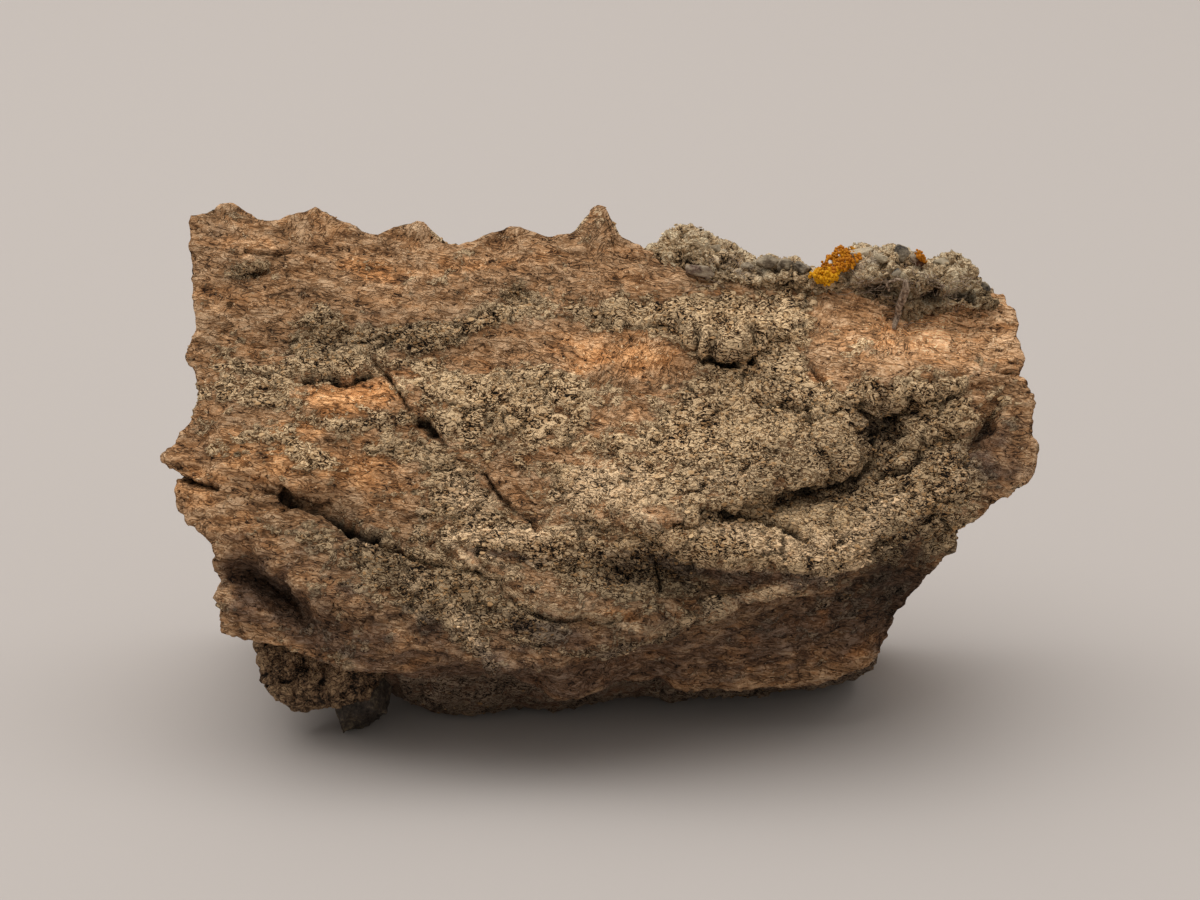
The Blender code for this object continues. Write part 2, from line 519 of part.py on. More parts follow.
def cap_section(x, angle):
    """Face points of the cap's skin at x and at an angle round it: 0 is the front lip, 90 the top."""
    top, lip, front, back = (
        np.interp(x, line[:, 0], line[:, 1]) for line in (CAP_TOP, CAP_LIP, CAP_FRONT, CAP_BACK)
    )
    forward = np.sign(np.cos(angle)) * np.abs(np.cos(angle)) ** (2 / CAP_ROUND)
    upward = np.sign(np.sin(angle)) * np.abs(np.sin(angle)) ** (2 / CAP_ROUND)
    (start, end), (full_start, full_end) = CAP_RUNS_OUT, CAP_FILLS
    deep = smooth_step(start, full_start, x) * (1 - smooth_step(full_end, end, x))
    under = CAP_UNDER_LIP + (CAP_IN_TROUGH - CAP_UNDER_LIP) * deep * (1 - np.abs(forward))
    t = lip + upward * np.where(upward > 0, top - lip, under)
    return x, t, (front + back) / 2 + (front - back) / 2 * forward


def cap_skin(x, angle):
    """World points of the cap's skin, with its unevenness."""
    points = on_surface(*cap_section(x, angle))
    return points + unevenness(points, CAP_UNEVEN)


def make_cap():
    ease = (1 - np.cos(np.linspace(CAP_END, math.pi - CAP_END, CAP_STATIONS))) / 2
    x = CAP_TOP[0, 0] + (CAP_TOP[-1, 0] - CAP_TOP[0, 0]) * ease
    angle = np.linspace(0, 2 * math.pi, CAP_AROUND, endpoint=False)
    points, faces = closed_tube(cap_skin(*np.meshgrid(x, angle, indexing="ij")))
    return make_object("sediment_cap", points, faces, "sediment")


def lump(centre, half, rings, around):
    """Points and faces of an uneven egg shape about a world point, its halves in face directions."""
    polar = np.linspace(EGG_END, math.pi - EGG_END, rings)
    turn = np.linspace(0, 2 * math.pi, around, endpoint=False)
    polar, turn = np.meshgrid(polar, turn, indexing="ij")
    x = -half[0] * np.cos(polar)
    t = half[1] * np.sin(polar) * np.sin(turn)
    n = half[2] * np.sin(polar) * np.cos(turn)
    points = centre + on_surface(x, t, n) - on_surface(0.0, 0.0, 0.0)
    return closed_tube(points + unevenness(points, FOOT_UNEVEN))


def make_foot():
    """The stone foot: a broad lump with a narrower one under it, cut flat where it stands."""
    (place, half), (tip_place, tip_half) = FOOT_LUMP, FOOT_TIP
    foot = make_object("stone_foot", *lump(on_surface(*place), half, *FOOT_LUMP_MESH), "ironstone")
    tip = make_object("foot_tip", *lump(on_surface(*tip_place), tip_half, *FOOT_TIP_MESH), "ironstone")
    boolean(foot, tip, "UNION")
    cut_below(foot, 0.0)
    return foot


def cut_below(obj, height):
    """Removes what lies below a level and closes the cut with a flat face."""
    mesh = bmesh.new()
    mesh.from_mesh(obj.data)
    everything = [*mesh.verts, *mesh.edges, *mesh.faces]
    cut = bmesh.ops.bisect_plane(
        mesh, geom=everything, plane_co=(0, 0, height), plane_no=(0, 0, -1), clear_outer=True
    )
    bmesh.ops.holes_fill(mesh, edges=[e for e in cut["geom_cut"] if isinstance(e, bmesh.types.BMEdge)])
    mesh.to_mesh(obj.data)
    mesh.free()
    tidy(obj)


def boolean(obj, other, operation):
    """Joins other to obj or cuts it away, keeps the largest body of the result and removes other."""
    modifier = obj.modifiers.new("boolean", "BOOLEAN")
    modifier.operation = operation
    modifier.solver = "EXACT"
    modifier.object = other
    graph = bpy.context.evaluated_depsgraph_get()
    made = bpy.data.meshes.new_from_object(obj.evaluated_get(graph))
    obj.modifiers.clear()
    obj.data = made
    bpy.data.objects.remove(other)
    keep_largest(obj)
    tidy(obj)


def keep_largest(obj):
    """Removes the crumbs that a cut leaves beside the main body."""
    mesh = bmesh.new()
    mesh.from_mesh(obj.data)
    left = set(mesh.verts)
    bodies = []
    while left:
        body, edge = set(), [left.pop()]
        while edge:
            vert = edge.pop()
            body.add(vert)
            near = {e.other_vert(vert) for e in vert.link_edges} & left
            left -= near
            edge.extend(near)
        bodies.append(body)
    bodies.sort(key=len)
    crumbs = [vert for body in bodies[:-1] for vert in body]
    bmesh.ops.delete(mesh, geom=crumbs, context="VERTS")
    mesh.to_mesh(obj.data)
    mesh.free()


def swollen_copy(obj):
    """A copy of obj whose skin stands GAP further out, to cut a neighbour with."""
    copy = obj.copy()
    copy.data = obj.data.copy()
    copy.name = "cutter"
    bpy.context.scene.collection.objects.link(copy)
    normals = [vert.normal.copy() for vert in copy.data.vertices]
    for vert, normal in zip(copy.data.vertices, normals):
        vert.co += normal * GAP
    copy.hide_render = True
    copy.display_type = "WIRE"
    return copy


def cap_outward(x, angle):
    """The direction out of the cap's skin, from points a little to each side."""
    step_x, step_angle = mm(0.01), 0.01
    along = cap_skin(x + step_x, angle) - cap_skin(x - step_x, angle)
    around = cap_skin(x, angle + step_angle) - cap_skin(x, angle - step_angle)
    outward = np.cross(along, around)
    return outward / np.linalg.norm(outward, axis=-1, keepdims=True)


def crust(middle, along, across, thick):
    """Points and faces of a domed crust on the cap's skin, with a scalloped outline."""
    radius = np.linspace(1, 0, LICHEN_RINGS + 1)[:-1]
    turn = np.linspace(0, 2 * math.pi, LICHEN_AROUND, endpoint=False)
    radius, turn = np.meshgrid(radius, turn, indexing="ij")
    scallops = sum(share * np.sin(waves * turn + start) for share, waves, start in LICHEN_SCALLOPS)
    reach = radius * (1 + scallops)
    x = middle[0] + reach * (along[0] * np.cos(turn) + across[0] * np.sin(turn))
    place = middle[1] + reach * (along[1] * np.cos(turn) + across[1] * np.sin(turn))
    angle = np.radians(place)
    skin, outward = cap_skin(x, angle), cap_outward(x, angle)
    dome = thick * (LICHEN_AT_EDGE + (1 - LICHEN_AT_EDGE) * np.sqrt(1 - radius**2))
    dome = dome * (1 + LICHEN_FOLD_HEIGHT * np.sin(LICHEN_FOLDS * (turn + radius)))
    upper = skin + (GAP + dome)[..., None] * outward
    lower = (skin - LICHEN_ROOTED * outward)[::-1]
    return closed_tube(np.concatenate([lower, upper]))


def make_lichen(cap):
    """The lichen patch and a fleck of it on a pebble, both fitted to the cap."""
    for name, place in (("lichen_patch", LICHEN_PATCH), ("lichen_fleck", LICHEN_FLECK)):
        lichen = make_object(name, *crust(*place), "lichen")
        boolean(lichen, swollen_copy(cap), "DIFFERENCE")


def make_rootlet(cap):
    """A short tapering root that hangs in front of the face, out from under the cap."""
    x, t, over = ROOTLET.T
    outward = on_surface(0.0, 0.0, 1.0) - on_surface(0.0, 0.0, 0.0)
    across = np.array([1.0, 0.0, 0.0])
    middle = roughen(on_surface(x, t, face_relief(x, t)), UNEVEN) + over[:, None] * outward
    turn = np.linspace(0, 2 * math.pi, ROOTLET_AROUND, endpoint=False)[:, None]
    ring = ROOTLET_RADIUS * (np.cos(turn) * across + np.sin(turn) * outward)
    sections = middle[:, None] + np.array(ROOTLET_TAPER)[:, None, None] * ring
    rootlet = make_object("rootlet", *closed_tube(sections), "root")
    boolean(rootlet, swollen_copy(cap), "DIFFERENCE")


def main():
    clear_scene()
    jaw = make_object("jaw_bone", *jaw_surface(), "fossil_bone")
    cap = make_cap()
    boolean(cap, swollen_copy(jaw), "DIFFERENCE")
    foot = make_foot()
    boolean(foot, swollen_copy(jaw), "DIFFERENCE")
    make_lichen(cap)
    make_rootlet(cap)


main()
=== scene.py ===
"""Hadrosaur jaw fossil: weathered bone under a crumbling clay crust, with sediment, lichen and a root.

Places on the fossil are face points (x, t, n): x runs along the jaw, t runs up its broad face, and n
stands out of that face, which leans back. FaceFrame turns them into the model's frame.
"""

import logging
import math
from collections.abc import Sequence
from dataclasses import dataclass, field
from enum import Enum

import bmesh
import bpy
import numpy as np
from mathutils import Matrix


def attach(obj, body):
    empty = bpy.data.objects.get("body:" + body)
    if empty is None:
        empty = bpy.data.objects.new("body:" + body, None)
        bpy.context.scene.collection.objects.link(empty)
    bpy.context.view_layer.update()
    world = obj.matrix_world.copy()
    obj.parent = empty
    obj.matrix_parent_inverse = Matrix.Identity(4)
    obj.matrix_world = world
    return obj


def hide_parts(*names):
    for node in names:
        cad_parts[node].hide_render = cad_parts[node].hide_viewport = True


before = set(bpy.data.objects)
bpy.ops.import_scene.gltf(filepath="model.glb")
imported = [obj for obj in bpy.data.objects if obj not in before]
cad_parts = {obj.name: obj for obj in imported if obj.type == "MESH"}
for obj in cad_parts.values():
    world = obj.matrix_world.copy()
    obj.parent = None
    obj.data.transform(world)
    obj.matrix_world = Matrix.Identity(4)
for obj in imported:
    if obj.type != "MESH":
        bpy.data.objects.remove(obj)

log = logging.getLogger("jaw_fossil")
Array = np.ndarray
Socket = bpy.types.NodeSocket
Pair = tuple[float, float]
Triple = tuple[float, float, float]
Spot = tuple[float, float, float, float, float, float]
Path = tuple[Pair, ...]
Layers = Sequence[tuple[float, float, int]]
MM = 0.001


def mm(values: object) -> Array:
    """Millimetres as metres, for a number or for a list of points."""
    return np.array(values, float) * MM


# -------- the lines that the form follows

RIM = mm([
    (-47.1, 26.3), (-46, 26.6), (-44.6, 27.2), (-43.7, 28.3), (-42.7, 28.6), (-41.4, 28), (-39.8, 26.7),
    (-37.4, 26.4), (-35.2, 26.9), (-34, 27.5), (-32.8, 28.2), (-31.5, 27.3), (-29.6, 26.2), (-28, 25.1),
    (-25.3, 24.6), (-23.6, 25.3), (-22, 25.7), (-21.1, 26.3), (-20.2, 25.3), (-18.7, 24.1), (-16.6, 23.8),
    (-14.3, 24.3), (-12.6, 25.1), (-10.2, 25.7), (-8.4, 25.1), (-6.4, 24.5), (-5.2, 24.4), (-3.2, 25.1),
    (-2.3, 25.7), (-1.6, 26.8), (-0.9, 28), (0, 28.5), (0.8, 28.1), (1.4, 26.4), (2.1, 25), (3.8, 24.5),
    (5.2, 23.9), (7.5, 22), (9.8, 20.6), (13, 19.9), (18, 19.3), (24, 18.9), (30, 18.6), (36, 18.3),
    (41, 18), (45.8, 17.5),
])
RIGHT_BREAK = mm([
    (45.8, 17.5), (46.5, 16.2), (47.3, 15.9), (47.8, 14.2), (47.6, 13.4), (48.1, 12.2), (48.4, 10.2),
    (48, 8.4), (49, 7.6), (49.7, 6.5), (49.5, 4.8), (49.2, 3.8), (49.3, 2.2), (49.7, 0.4), (49.4, -1.2),
    (48.6, -2.8), (47.4, -3.5), (46.2, -4.7), (44.6, -5.7), (44, -7), (42.4, -7.6), (40.8, -8.4),
    (40.3, -9.5), (39.7, -11.1), (38.6, -11.8), (37.9, -13), (36.9, -14.5), (36.1, -15.8), (35.3, -17.3),
    (34.6, -18.6), (34.3, -20), (33.7, -21.7),
])
LOWER_EDGE = mm([
    (33.7, -21.7), (33, -22.9), (32, -24), (30.4, -24.8), (28.7, -25.5), (27, -25.9), (24.6, -26.6),
    (21.8, -27.2), (18, -27.4), (14, -27.6), (11.4, -27.9), (9.8, -28.3), (8.6, -28), (7.4, -27),
    (4.8, -27.3), (1.6, -27.3), (0, -28.3), (-2.8, -28.5), (-5, -28.9), (-6.4, -28.2), (-7.6, -27.3),
    (-9.2, -26.4), (-11.6, -25.6), (-14.2, -25.3), (-16.6, -25.8), (-18.4, -26.4), (-20.6, -26.1),
    (-23, -25.1), (-25.4, -25), (-27.2, -24.5), (-29.2, -24), (-31, -23.6), (-33.4, -23.2), (-35.2, -22.4),
    (-37.4, -22.4), (-39.4, -21.9), (-41.2, -21.8), (-42.2, -21.1),
])
LEFT_BREAK = mm([
    (-42.2, -21.1), (-42.4, -19.8), (-42.2, -18.6), (-42.3, -17.2), (-42.8, -16.1), (-42.5, -14.9),
    (-43, -13.8), (-43.5, -12.2), (-43.5, -10.5), (-44.6, -9.3), (-46, -8.3), (-47.1, -7.5), (-48.2, -6.8),
    (-49, -5.7), (-48.9, -4.4), (-48.5, -3.2), (-48.3, -2.4), (-49.4, -2), (-50, -1.6), (-50.5, -0.9),
    (-49.4, 0.2), (-48.3, 1.7), (-46.9, 3.4), (-45.6, 4.9), (-45.4, 5.8), (-45.5, 8), (-45.9, 8.9),
    (-46.4, 9.6), (-47, 10.4), (-46.8, 11.4), (-46.4, 12.4), (-45.8, 13), (-45.8, 14.3), (-46.1, 15.2),
    (-46.4, 16.7), (-46.7, 18.1), (-46.9, 19.6), (-47.2, 21), (-47.6, 22.3), (-47.6, 23.4), (-47.3, 24.2),
    (-47.4, 25.5), (-47.1, 26.3),
])
BACK_RIM = mm([
    (-44.6, 26), (-42.7, 27.7), (-38, 25.2), (-32.8, 27.2), (-26, 23.6), (-21.1, 25.2), (-16, 22.8),
    (-10.2, 24.7), (-5, 23.4), (0, 26.9), (4.4, 22.6), (9, 21.2), (16, 21), (26, 20.6), (36, 20),
    (42.5, 18.6),
])
BACK_RIGHT = mm([(42.5, 18.6), (44.5, 10), (45.2, 1), (42, -8), (36.8, -15), (31.5, -22)])
BACK_LOWER = mm([
    (31.5, -27), (20, -29.4), (0, -29.6), (-20, -28.4), (-32, -24.2), (-41, -18.5),
])
BACK_LEFT = mm([(-41, -18), (-42.4, -10), (-41.4, 0), (-43, 10), (-44.6, 26)])
LEVEL_RIM = mm([(-50, 26.4), (-20, 25), (1, 25), (8, 21.4), (20, 19.2), (50, 17.4)])
KEEL = mm([
    (-48, -9.5, 3), (-44, -10.5, 4.2), (-37.4, -13.3, 5.6), (-33.9, -15.5, 6.4), (-29.3, -18.6, 7.2),
    (-23, -21.8, 7.4), (-11.5, -24.6, 8), (-4.6, -22.4, 9), (4.6, -19.8, 9.6), (10.3, -17.9, 9.4),
    (16.1, -16.8, 9), (21.8, -14.4, 8.4), (28.7, -11.8, 7.2), (34.5, -10, 6), (39.7, -7.8, 4.6),
    (44.3, -5.7, 3), (50, -3.4, 1),
])
LOWER_STANDS = mm([
    (-46, 2.6), (-30, 3.4), (-16, 1.5), (-6, -2), (6, -5), (18, -6.5), (34, -5.5),
])
RIDGES = mm([-54.0, -42.7, -32.8, -21.1, -10.2, 0.0, 10.4])
CAP_TOP = mm([
    (4.6, 22.6), (6.2, 23.6), (7.5, 24.6), (8.4, 25.4), (9.4, 25.7), (11, 25.3), (13, 24.5), (15, 24),
    (17, 23), (18.2, 21.7), (20, 22.2), (22, 22.1), (23.6, 21.2), (25.6, 20.6), (27.6, 21.4), (29.4, 23),
    (31, 23.6), (33, 22.9), (34.2, 23.5), (35.6, 23.2), (37.4, 21.8), (39.4, 22.2), (41, 22.6), (43, 21.2),
    (44.6, 19.2), (45.6, 17.8),
])
CAP_LIP = mm([
    (4.6, 21.6), (8, 20.6), (12, 19.9), (16, 19.6), (24, 19.2), (28, 19), (31, 18.4), (35, 18.3),
    (37.5, 18.4), (39.6, 17.3), (43, 17), (45.6, 17),
])
CAP_FRONT = mm([
    (4.6, -3.4), (8, -1.8), (13, -0.6), (20, -0.8), (28, 0), (32, 2), (42, 1.8), (45.6, -1),
])
CAP_BACK = mm([(4.6, -6), (9, -15), (16, -21), (36, -20.5), (42, -14), (45.6, -7)])
ROOTLET = mm([
    (34.9, 19.3), (35, 18.3), (34.7, 17.3), (34.4, 16.4), (34.3, 15.5), (34, 14.6), (33.7, 13.8),
])


# -------- numbers on surfaces


def smooth_step(low: float, high: float, value: Array) -> Array:
    """A smooth rise from 0 at low to 1 at high, or a fall where high is the smaller: s * s * (3 - 2 s)."""
    share = np.clip((value - low) / (high - low), 0.0, 1.0)
    return share * share * (3 - 2 * share)


def corner_value(cell: Array, seed: int, salt: int) -> Array:
    """A fixed number from -1 to 1 for each whole-number cell, by mixing the bits of its numbers.

    Args:
        cell: Whole numbers, three to a cell.
        seed: Which noise this is.
        salt: Which of its numbers is asked for.
    Returns:
        One number for each cell.
    """
    low_bits = 2**32 - 1
    mixed = cell[..., 0] * 73856093 ^ cell[..., 1] * 19349663 ^ cell[..., 2] * 83492791
    mixed = (mixed ^ (seed * 2654435761 + salt * 97531)) & low_bits
    mixed = ((mixed ^ (mixed >> 13)) * 1274126177) & low_bits
    mixed = mixed ^ (mixed >> 16)
    return mixed / 2**31 - 1


def lumps(points: Array, seed: int) -> Array:
    """Smooth 3-D noise: a random slope at each corner of unit cells, blended by fifth-power easing.

    Args:
        points: Places, in lump sizes.
        seed: Which noise this is.
    Returns:
        About -1 to 1 at each place.
    """
    cell = np.floor(points).astype(np.int64)
    inside = points - cell
    ease = inside**3 * (inside * (inside * 6 - 15) + 10)
    total = np.zeros(points.shape[:-1])
    for corner in np.ndindex(2, 2, 2):
        corner = np.array(corner)
        share = np.prod(np.where(corner == 1, ease, 1 - ease), axis=-1)
        slope = np.stack([corner_value(cell + corner, seed, salt) for salt in range(3)], axis=-1)
        total += share * (slope * (inside - corner)).sum(axis=-1)
    return total * 1.5


def ridged(points: Array, seed: int) -> Array:
    """Curling ridges, 1 along their tops and falling to about -1 between: 1 - 3 |lumps|."""
    return 1 - 3 * np.abs(lumps(points, seed))


def nodules(points: Array, seed: int) -> tuple[Array, Array, Array]:
    """Distances to points strewn one to a unit cell, which make a packing of rounded nodules.

    Args:
        points: Places, in nodule sizes.
        seed: Which packing this is.
    Returns:
        The distance to the nearest nodule's middle, to the second nearest, and a fixed number from
        -1 to 1 for the nearest nodule.
    """
    cell = np.floor(points).astype(np.int64)
    inside = points - cell
    nearest = np.full(points.shape[:-1], 9.0)
    second, mark = nearest.copy(), np.zeros_like(nearest)
    for offset in np.ndindex(3, 3, 3):
        offset = np.array(offset) - 1
        there = cell + offset
        middle = np.stack([corner_value(there, seed, salt) for salt in range(3)], axis=-1)
        away = np.linalg.norm(offset + 0.5 + 0.42 * middle - inside, axis=-1)
        closer = away < nearest
        second = np.where(closer, nearest, np.minimum(second, away))
        mark = np.where(closer, corner_value(there, seed, 7), mark)
        nearest = np.where(closer, away, nearest)
    return nearest, second, mark


def unevenness(points: Array, layers: Layers) -> Array:
    """How far points are pushed: each layer (size, height, seed), in mm, is noise in each direction."""
    push = np.zeros_like(points)
    for size, height, seed in layers:
        for axis in range(3):
            push[..., axis] += height * MM * lumps(points / (size * MM), seed * 10 + axis)
    return push


def beside(path: Array, x: Array, t: Array) -> Array:
    """Signed distance from a path: over its pieces, the least distance to the nearest point of each.

    Args:
        path: The path's points, (x, t).
        x: Where to measure, along the jaw.
        t: Where to measure, up the face.
    Returns:
        The distance, positive above a path that runs left to right.
    """
    best = np.full(np.shape(x), np.inf)
    side = np.ones(np.shape(x))
    for (x0, t0), (x1, t1) in zip(path[:-1], path[1:]):
        along_x, along_t = x1 - x0, t1 - t0
        share = ((x - x0) * along_x + (t - t0) * along_t) / (along_x**2 + along_t**2)
        share = np.clip(share, 0, 1)
        away_x, away_t = x - x0 - share * along_x, t - t0 - share * along_t
        distance = np.hypot(away_x, away_t)
        nearer = distance < best
        best = np.where(nearer, distance, best)
        side = np.where(nearer, np.sign(along_x * away_t - along_t * away_x), side)
    return best * side


def at_line(line: Array, x: Array, column: int = 1) -> Array:
    """The height of a line of points at each x, straight between its points."""
    ordered = line[np.argsort(line[:, 0], kind="stable")]
    return np.interp(x, ordered[:, 0], ordered[:, column])


@dataclass(frozen=True)
class FaceFrame:
    """The leaning frame of the broad face, and where it stands in the model's frame."""

    lean: float = math.radians(20)
    rest_height: float = 35.0 * MM
    base_centre: Pair = (0.07 * MM, 6.85 * MM)

    def world(self, x: Array, t: Array, n: Array) -> Array:
        """Model points of face points: the face plane is turned back by the lean and lifted."""
        y = t * math.sin(self.lean) - n * math.cos(self.lean) - self.base_centre[1]
        z = t * math.cos(self.lean) + n * math.sin(self.lean) + self.rest_height
        return np.stack(np.broadcast_arrays(x - self.base_centre[0], y, z), axis=-1)

    def local(self, points: Array) -> tuple[Array, Array, Array]:
        """The face points (x, t, n) of model points: the way back from world."""
        x = points[:, 0] + self.base_centre[0]
        y, z = points[:, 1] + self.base_centre[1], points[:, 2] - self.rest_height
        sine, cosine = math.sin(self.lean), math.cos(self.lean)
        return x, y * sine + z * cosine, z * sine - y * cosine

    def outward(self) -> Array:
        """The direction that n runs in."""
        return np.array([0.0, -math.cos(self.lean), math.sin(self.lean)])

    def above_ground(self, t: Array, n: Array) -> Array:
        """t, raised where a face point would lie below the surface that the fossil stands on."""
        return np.maximum(t, (-self.rest_height - n * math.sin(self.lean)) / math.cos(self.lean))


FACE = FaceFrame()


def spotted(spots: Sequence[Spot], x: Array, t: Array) -> Array:
    """The sum of bell-shaped spots, amount * exp(-(along^2 + across^2)).

    Args:
        spots: For each, x and t of its middle, its reach along and across, its turn in degrees and
            its amount. The lengths are in millimetres.
        x: Where to read it, along the jaw.
        t: Where to read it, up the face.
    Returns:
        The sum at each place.
    """
    total = np.zeros(np.shape(x))
    for middle_x, middle_t, reach, reach_across, turn, amount in spots:
        angle = math.radians(turn)
        away_x, away_t = x / MM - middle_x, t / MM - middle_t
        along = (away_x * math.cos(angle) + away_t * math.sin(angle)) / reach
        across = (away_t * math.cos(angle) - away_x * math.sin(angle)) / reach_across
        total += amount * np.exp(-(along**2 + across**2))
    return total


@dataclass(frozen=True)
class Crest:
    """A raised line: height * exp(-(distance / reach)^2), with one reach above it and one below."""

    path: Path
    height: float
    above: float
    below: float

    def lift(self, x: Array, t: Array) -> Array:
        """How far the crest stands at each face point, in millimetres."""
        distance = beside(mm(self.path), x, t)
        reach = np.where(distance > 0, self.above, self.below) * MM
        return self.height * np.exp(-((distance / reach) ** 2))


@dataclass(frozen=True)
class Crack:
    """A crack: it gapes by width and goes down by depth, and the bone above it stands by step."""

    path: Path
    width: float
    depth: float
    step: float = 0.0

    def lift(self, x: Array, t: Array) -> Array:
        """How far the surface is lowered in the crack and lifted beside it, in millimetres."""
        distance = beside(mm(self.path), x, t) / MM
        cut = self.depth * np.exp(-((distance / (self.width / 2)) ** 4))
        shoulder = self.step * np.exp(-np.abs(distance) / 2.4) * smooth_step(-0.12, 0.12, distance)
        return shoulder - cut


# -------- meshes


@dataclass
class Skin:
    """Points, faces and point values of a surface before it is a mesh."""

    points: Array
    faces: list[Array]
    values: dict[str, Array] = field(default_factory=dict)

    def normals(self) -> Array:
        """Unit normals of the points: the sum of the crossed diagonals or edges of the faces round each."""
        total = np.zeros_like(self.points)
        for faces in self.faces:
            corners = [self.points[column] for column in faces.T]
            normal = np.cross(corners[2] - corners[0], corners[-1] - corners[1])
            if len(corners) == 3:
                normal = np.cross(corners[1] - corners[0], corners[2] - corners[0])
            for column in faces.T:
                np.add.at(total, column, normal)
        return total / np.maximum(np.linalg.norm(total, axis=1, keepdims=True), 1e-12)

    def pushed(self, height: Array) -> None:
        """Moves each point along its normal by a height in millimetres, and keeps it above the ground."""
        self.points = self.points + self.normals() * (height * MM)[:, None]
        self.points[:, 2] = np.maximum(self.points[:, 2], 0.0)

    def facing_out(self) -> "Skin":
        """Turns the faces round if the skin holds a negative volume."""
        volume = 0.0
        for faces in self.faces:
            for second in range(1, faces.shape[1] - 1):
                a, b, c = (self.points[faces[:, i]] for i in (0, second, second + 1))
                volume += np.einsum("ij,ij->", a, np.cross(b, c))
        if volume < 0:
            self.faces = [faces[:, ::-1] for faces in self.faces]
        return self


def joined(skins: Sequence[Skin]) -> Skin:
    """One skin of several that carry the same values."""
    starts = np.cumsum([0] + [len(skin.points) for skin in skins])
    faces = [part + start for skin, start in zip(skins, starts) for part in skin.faces]
    values = {key: np.concatenate([skin.values[key] for skin in skins]) for key in skins[0].values}
    return Skin(np.concatenate([skin.points for skin in skins]), faces, values)


def grid_faces(index: Array) -> Array:
    """Four-cornered faces of a grid of point numbers, facing the side they run anticlockwise on."""
    return np.stack([index[:-1, :-1], index[:-1, 1:], index[1:, 1:], index[1:, :-1]], axis=-1).reshape(-1, 4)


def round_the_edge(grid: Array) -> Array:
    """The outer points of a grid of rows and columns, anticlockwise from its lower left corner."""
    return np.concatenate([grid[0, :-1], grid[:-1, -1], grid[-1, :0:-1], grid[:0:-1, 0]])


def closed_tube(sections: Array) -> Skin:
    """A closed skin over rings of points, each end drawn to the middle of its ring.

    Args:
        sections: Points, in rings along the tube and then round each ring.
    Returns:
        The skin, whose last two points are the middles of its ends.
    """
    rings, around = sections.shape[:2]
    ends = np.stack([sections[0].mean(axis=0), sections[-1].mean(axis=0)])
    index = np.arange(rings * around).reshape(rings, around)
    after = np.roll(index, -1, axis=1)
    sides = grid_faces(np.concatenate([index, index[:, :1]], axis=1))
    first = np.stack([np.full(around, rings * around), after[0], index[0]], axis=-1)
    last = np.stack([np.full(around, rings * around + 1), index[-1], after[-1]], axis=-1)
    return Skin(np.concatenate([sections.reshape(-1, 3), ends]), [sides, first, last]).facing_out()


def thread(path: Array, radius: Array, around: int, twist: float = 0.0, wrinkle: float = 0.0) -> Skin:
    """A closed tube along a path, with rings square to the broad face's level direction and its normal.

    Args:
        path: Model points along the thread's middle.
        radius: Its radius at each of them.
        around: How many points go round it.
        twist: How far its wrinkles turn from end to end, in radians.
        wrinkle: How deep they are, as a share of the radius.
    Returns:
        The skin: the radius is wrinkled by two sines round it.
    """
    share = np.linspace(0, 1, len(path))[:, None]
    turn = np.linspace(0, 2 * math.pi, around, endpoint=False)
    folds = np.sin(3 * turn + twist * share) + 0.5 * np.sin(7 * turn + 3 * twist * share)
    along = np.gradient(path, axis=0)
    along /= np.linalg.norm(along, axis=1, keepdims=True)
    side = np.cross(along, FACE.outward())
    side /= np.linalg.norm(side, axis=1, keepdims=True)
    out = np.cross(side, along)
    ring = np.cos(turn)[None, :, None] * side[:, None] + np.sin(turn)[None, :, None] * out[:, None]
    return closed_tube(path[:, None] + (radius[:, None] * (1 + wrinkle * folds))[..., None] * ring)


def make_object(
    name: str, skin: Skin, material: bpy.types.Material, smooth: bool = True
) -> bpy.types.Object:
    """Puts a skin into a mesh object at the origin, with its point values as attributes.

    Args:
        name: The piece's name.
        skin: Its points, faces and values.
        material: What it is made of.
        smooth: Whether its faces are shaded as one rounded surface or each flat.
    Returns:
        The object, linked to the scene.
    """
    mesh = bpy.data.meshes.new(name)
    sizes = np.concatenate([np.full(len(faces), faces.shape[1]) for faces in skin.faces])
    corners = np.concatenate([faces.ravel() for faces in skin.faces])
    mesh.vertices.add(len(skin.points))
    mesh.vertices.foreach_set("co", skin.points.astype(np.float32).ravel())
    mesh.loops.add(len(corners))
    mesh.loops.foreach_set("vertex_index", corners.astype(np.int32))
    mesh.polygons.add(len(sizes))
    mesh.polygons.foreach_set("loop_start", (np.cumsum(sizes) - sizes).astype(np.int32))
    mesh.polygons.foreach_set("use_smooth", np.full(len(sizes), smooth))
    for key, value in skin.values.items():
        kind, entry = ("FLOAT", "value") if value.ndim == 1 else ("FLOAT_COLOR", "color")
        mesh.attributes.new(key, kind, "POINT").data.foreach_set(entry, value.astype(np.float32).ravel())
    mesh.update(calc_edges=True)
    mesh.materials.append(material)
    obj = bpy.data.objects.new(name, mesh)
    bpy.context.scene.collection.objects.link(obj)
    log.info("%s: %d triangles", name, (sizes - 2).sum())
    return obj


def settle(obj: bpy.types.Object, slot: str, *nodes: str) -> None:
    """Fixes a piece to the fossil and hides the solids that it stands for."""
    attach(obj, "root")
    if nodes:
        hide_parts(*nodes)


# -------- materials


def linear(colour: str) -> tuple[float, float, float, float]:
    """Linear RGBA of an sRGB hex colour such as "#ad8057"."""
    parts = [int(colour[i : i + 2], 16) / 255 for i in (1, 3, 5)]
    return (*(p / 12.92 if p <= 0.04045 else ((p + 0.055) / 1.055) ** 2.4 for p in parts), 1.0)


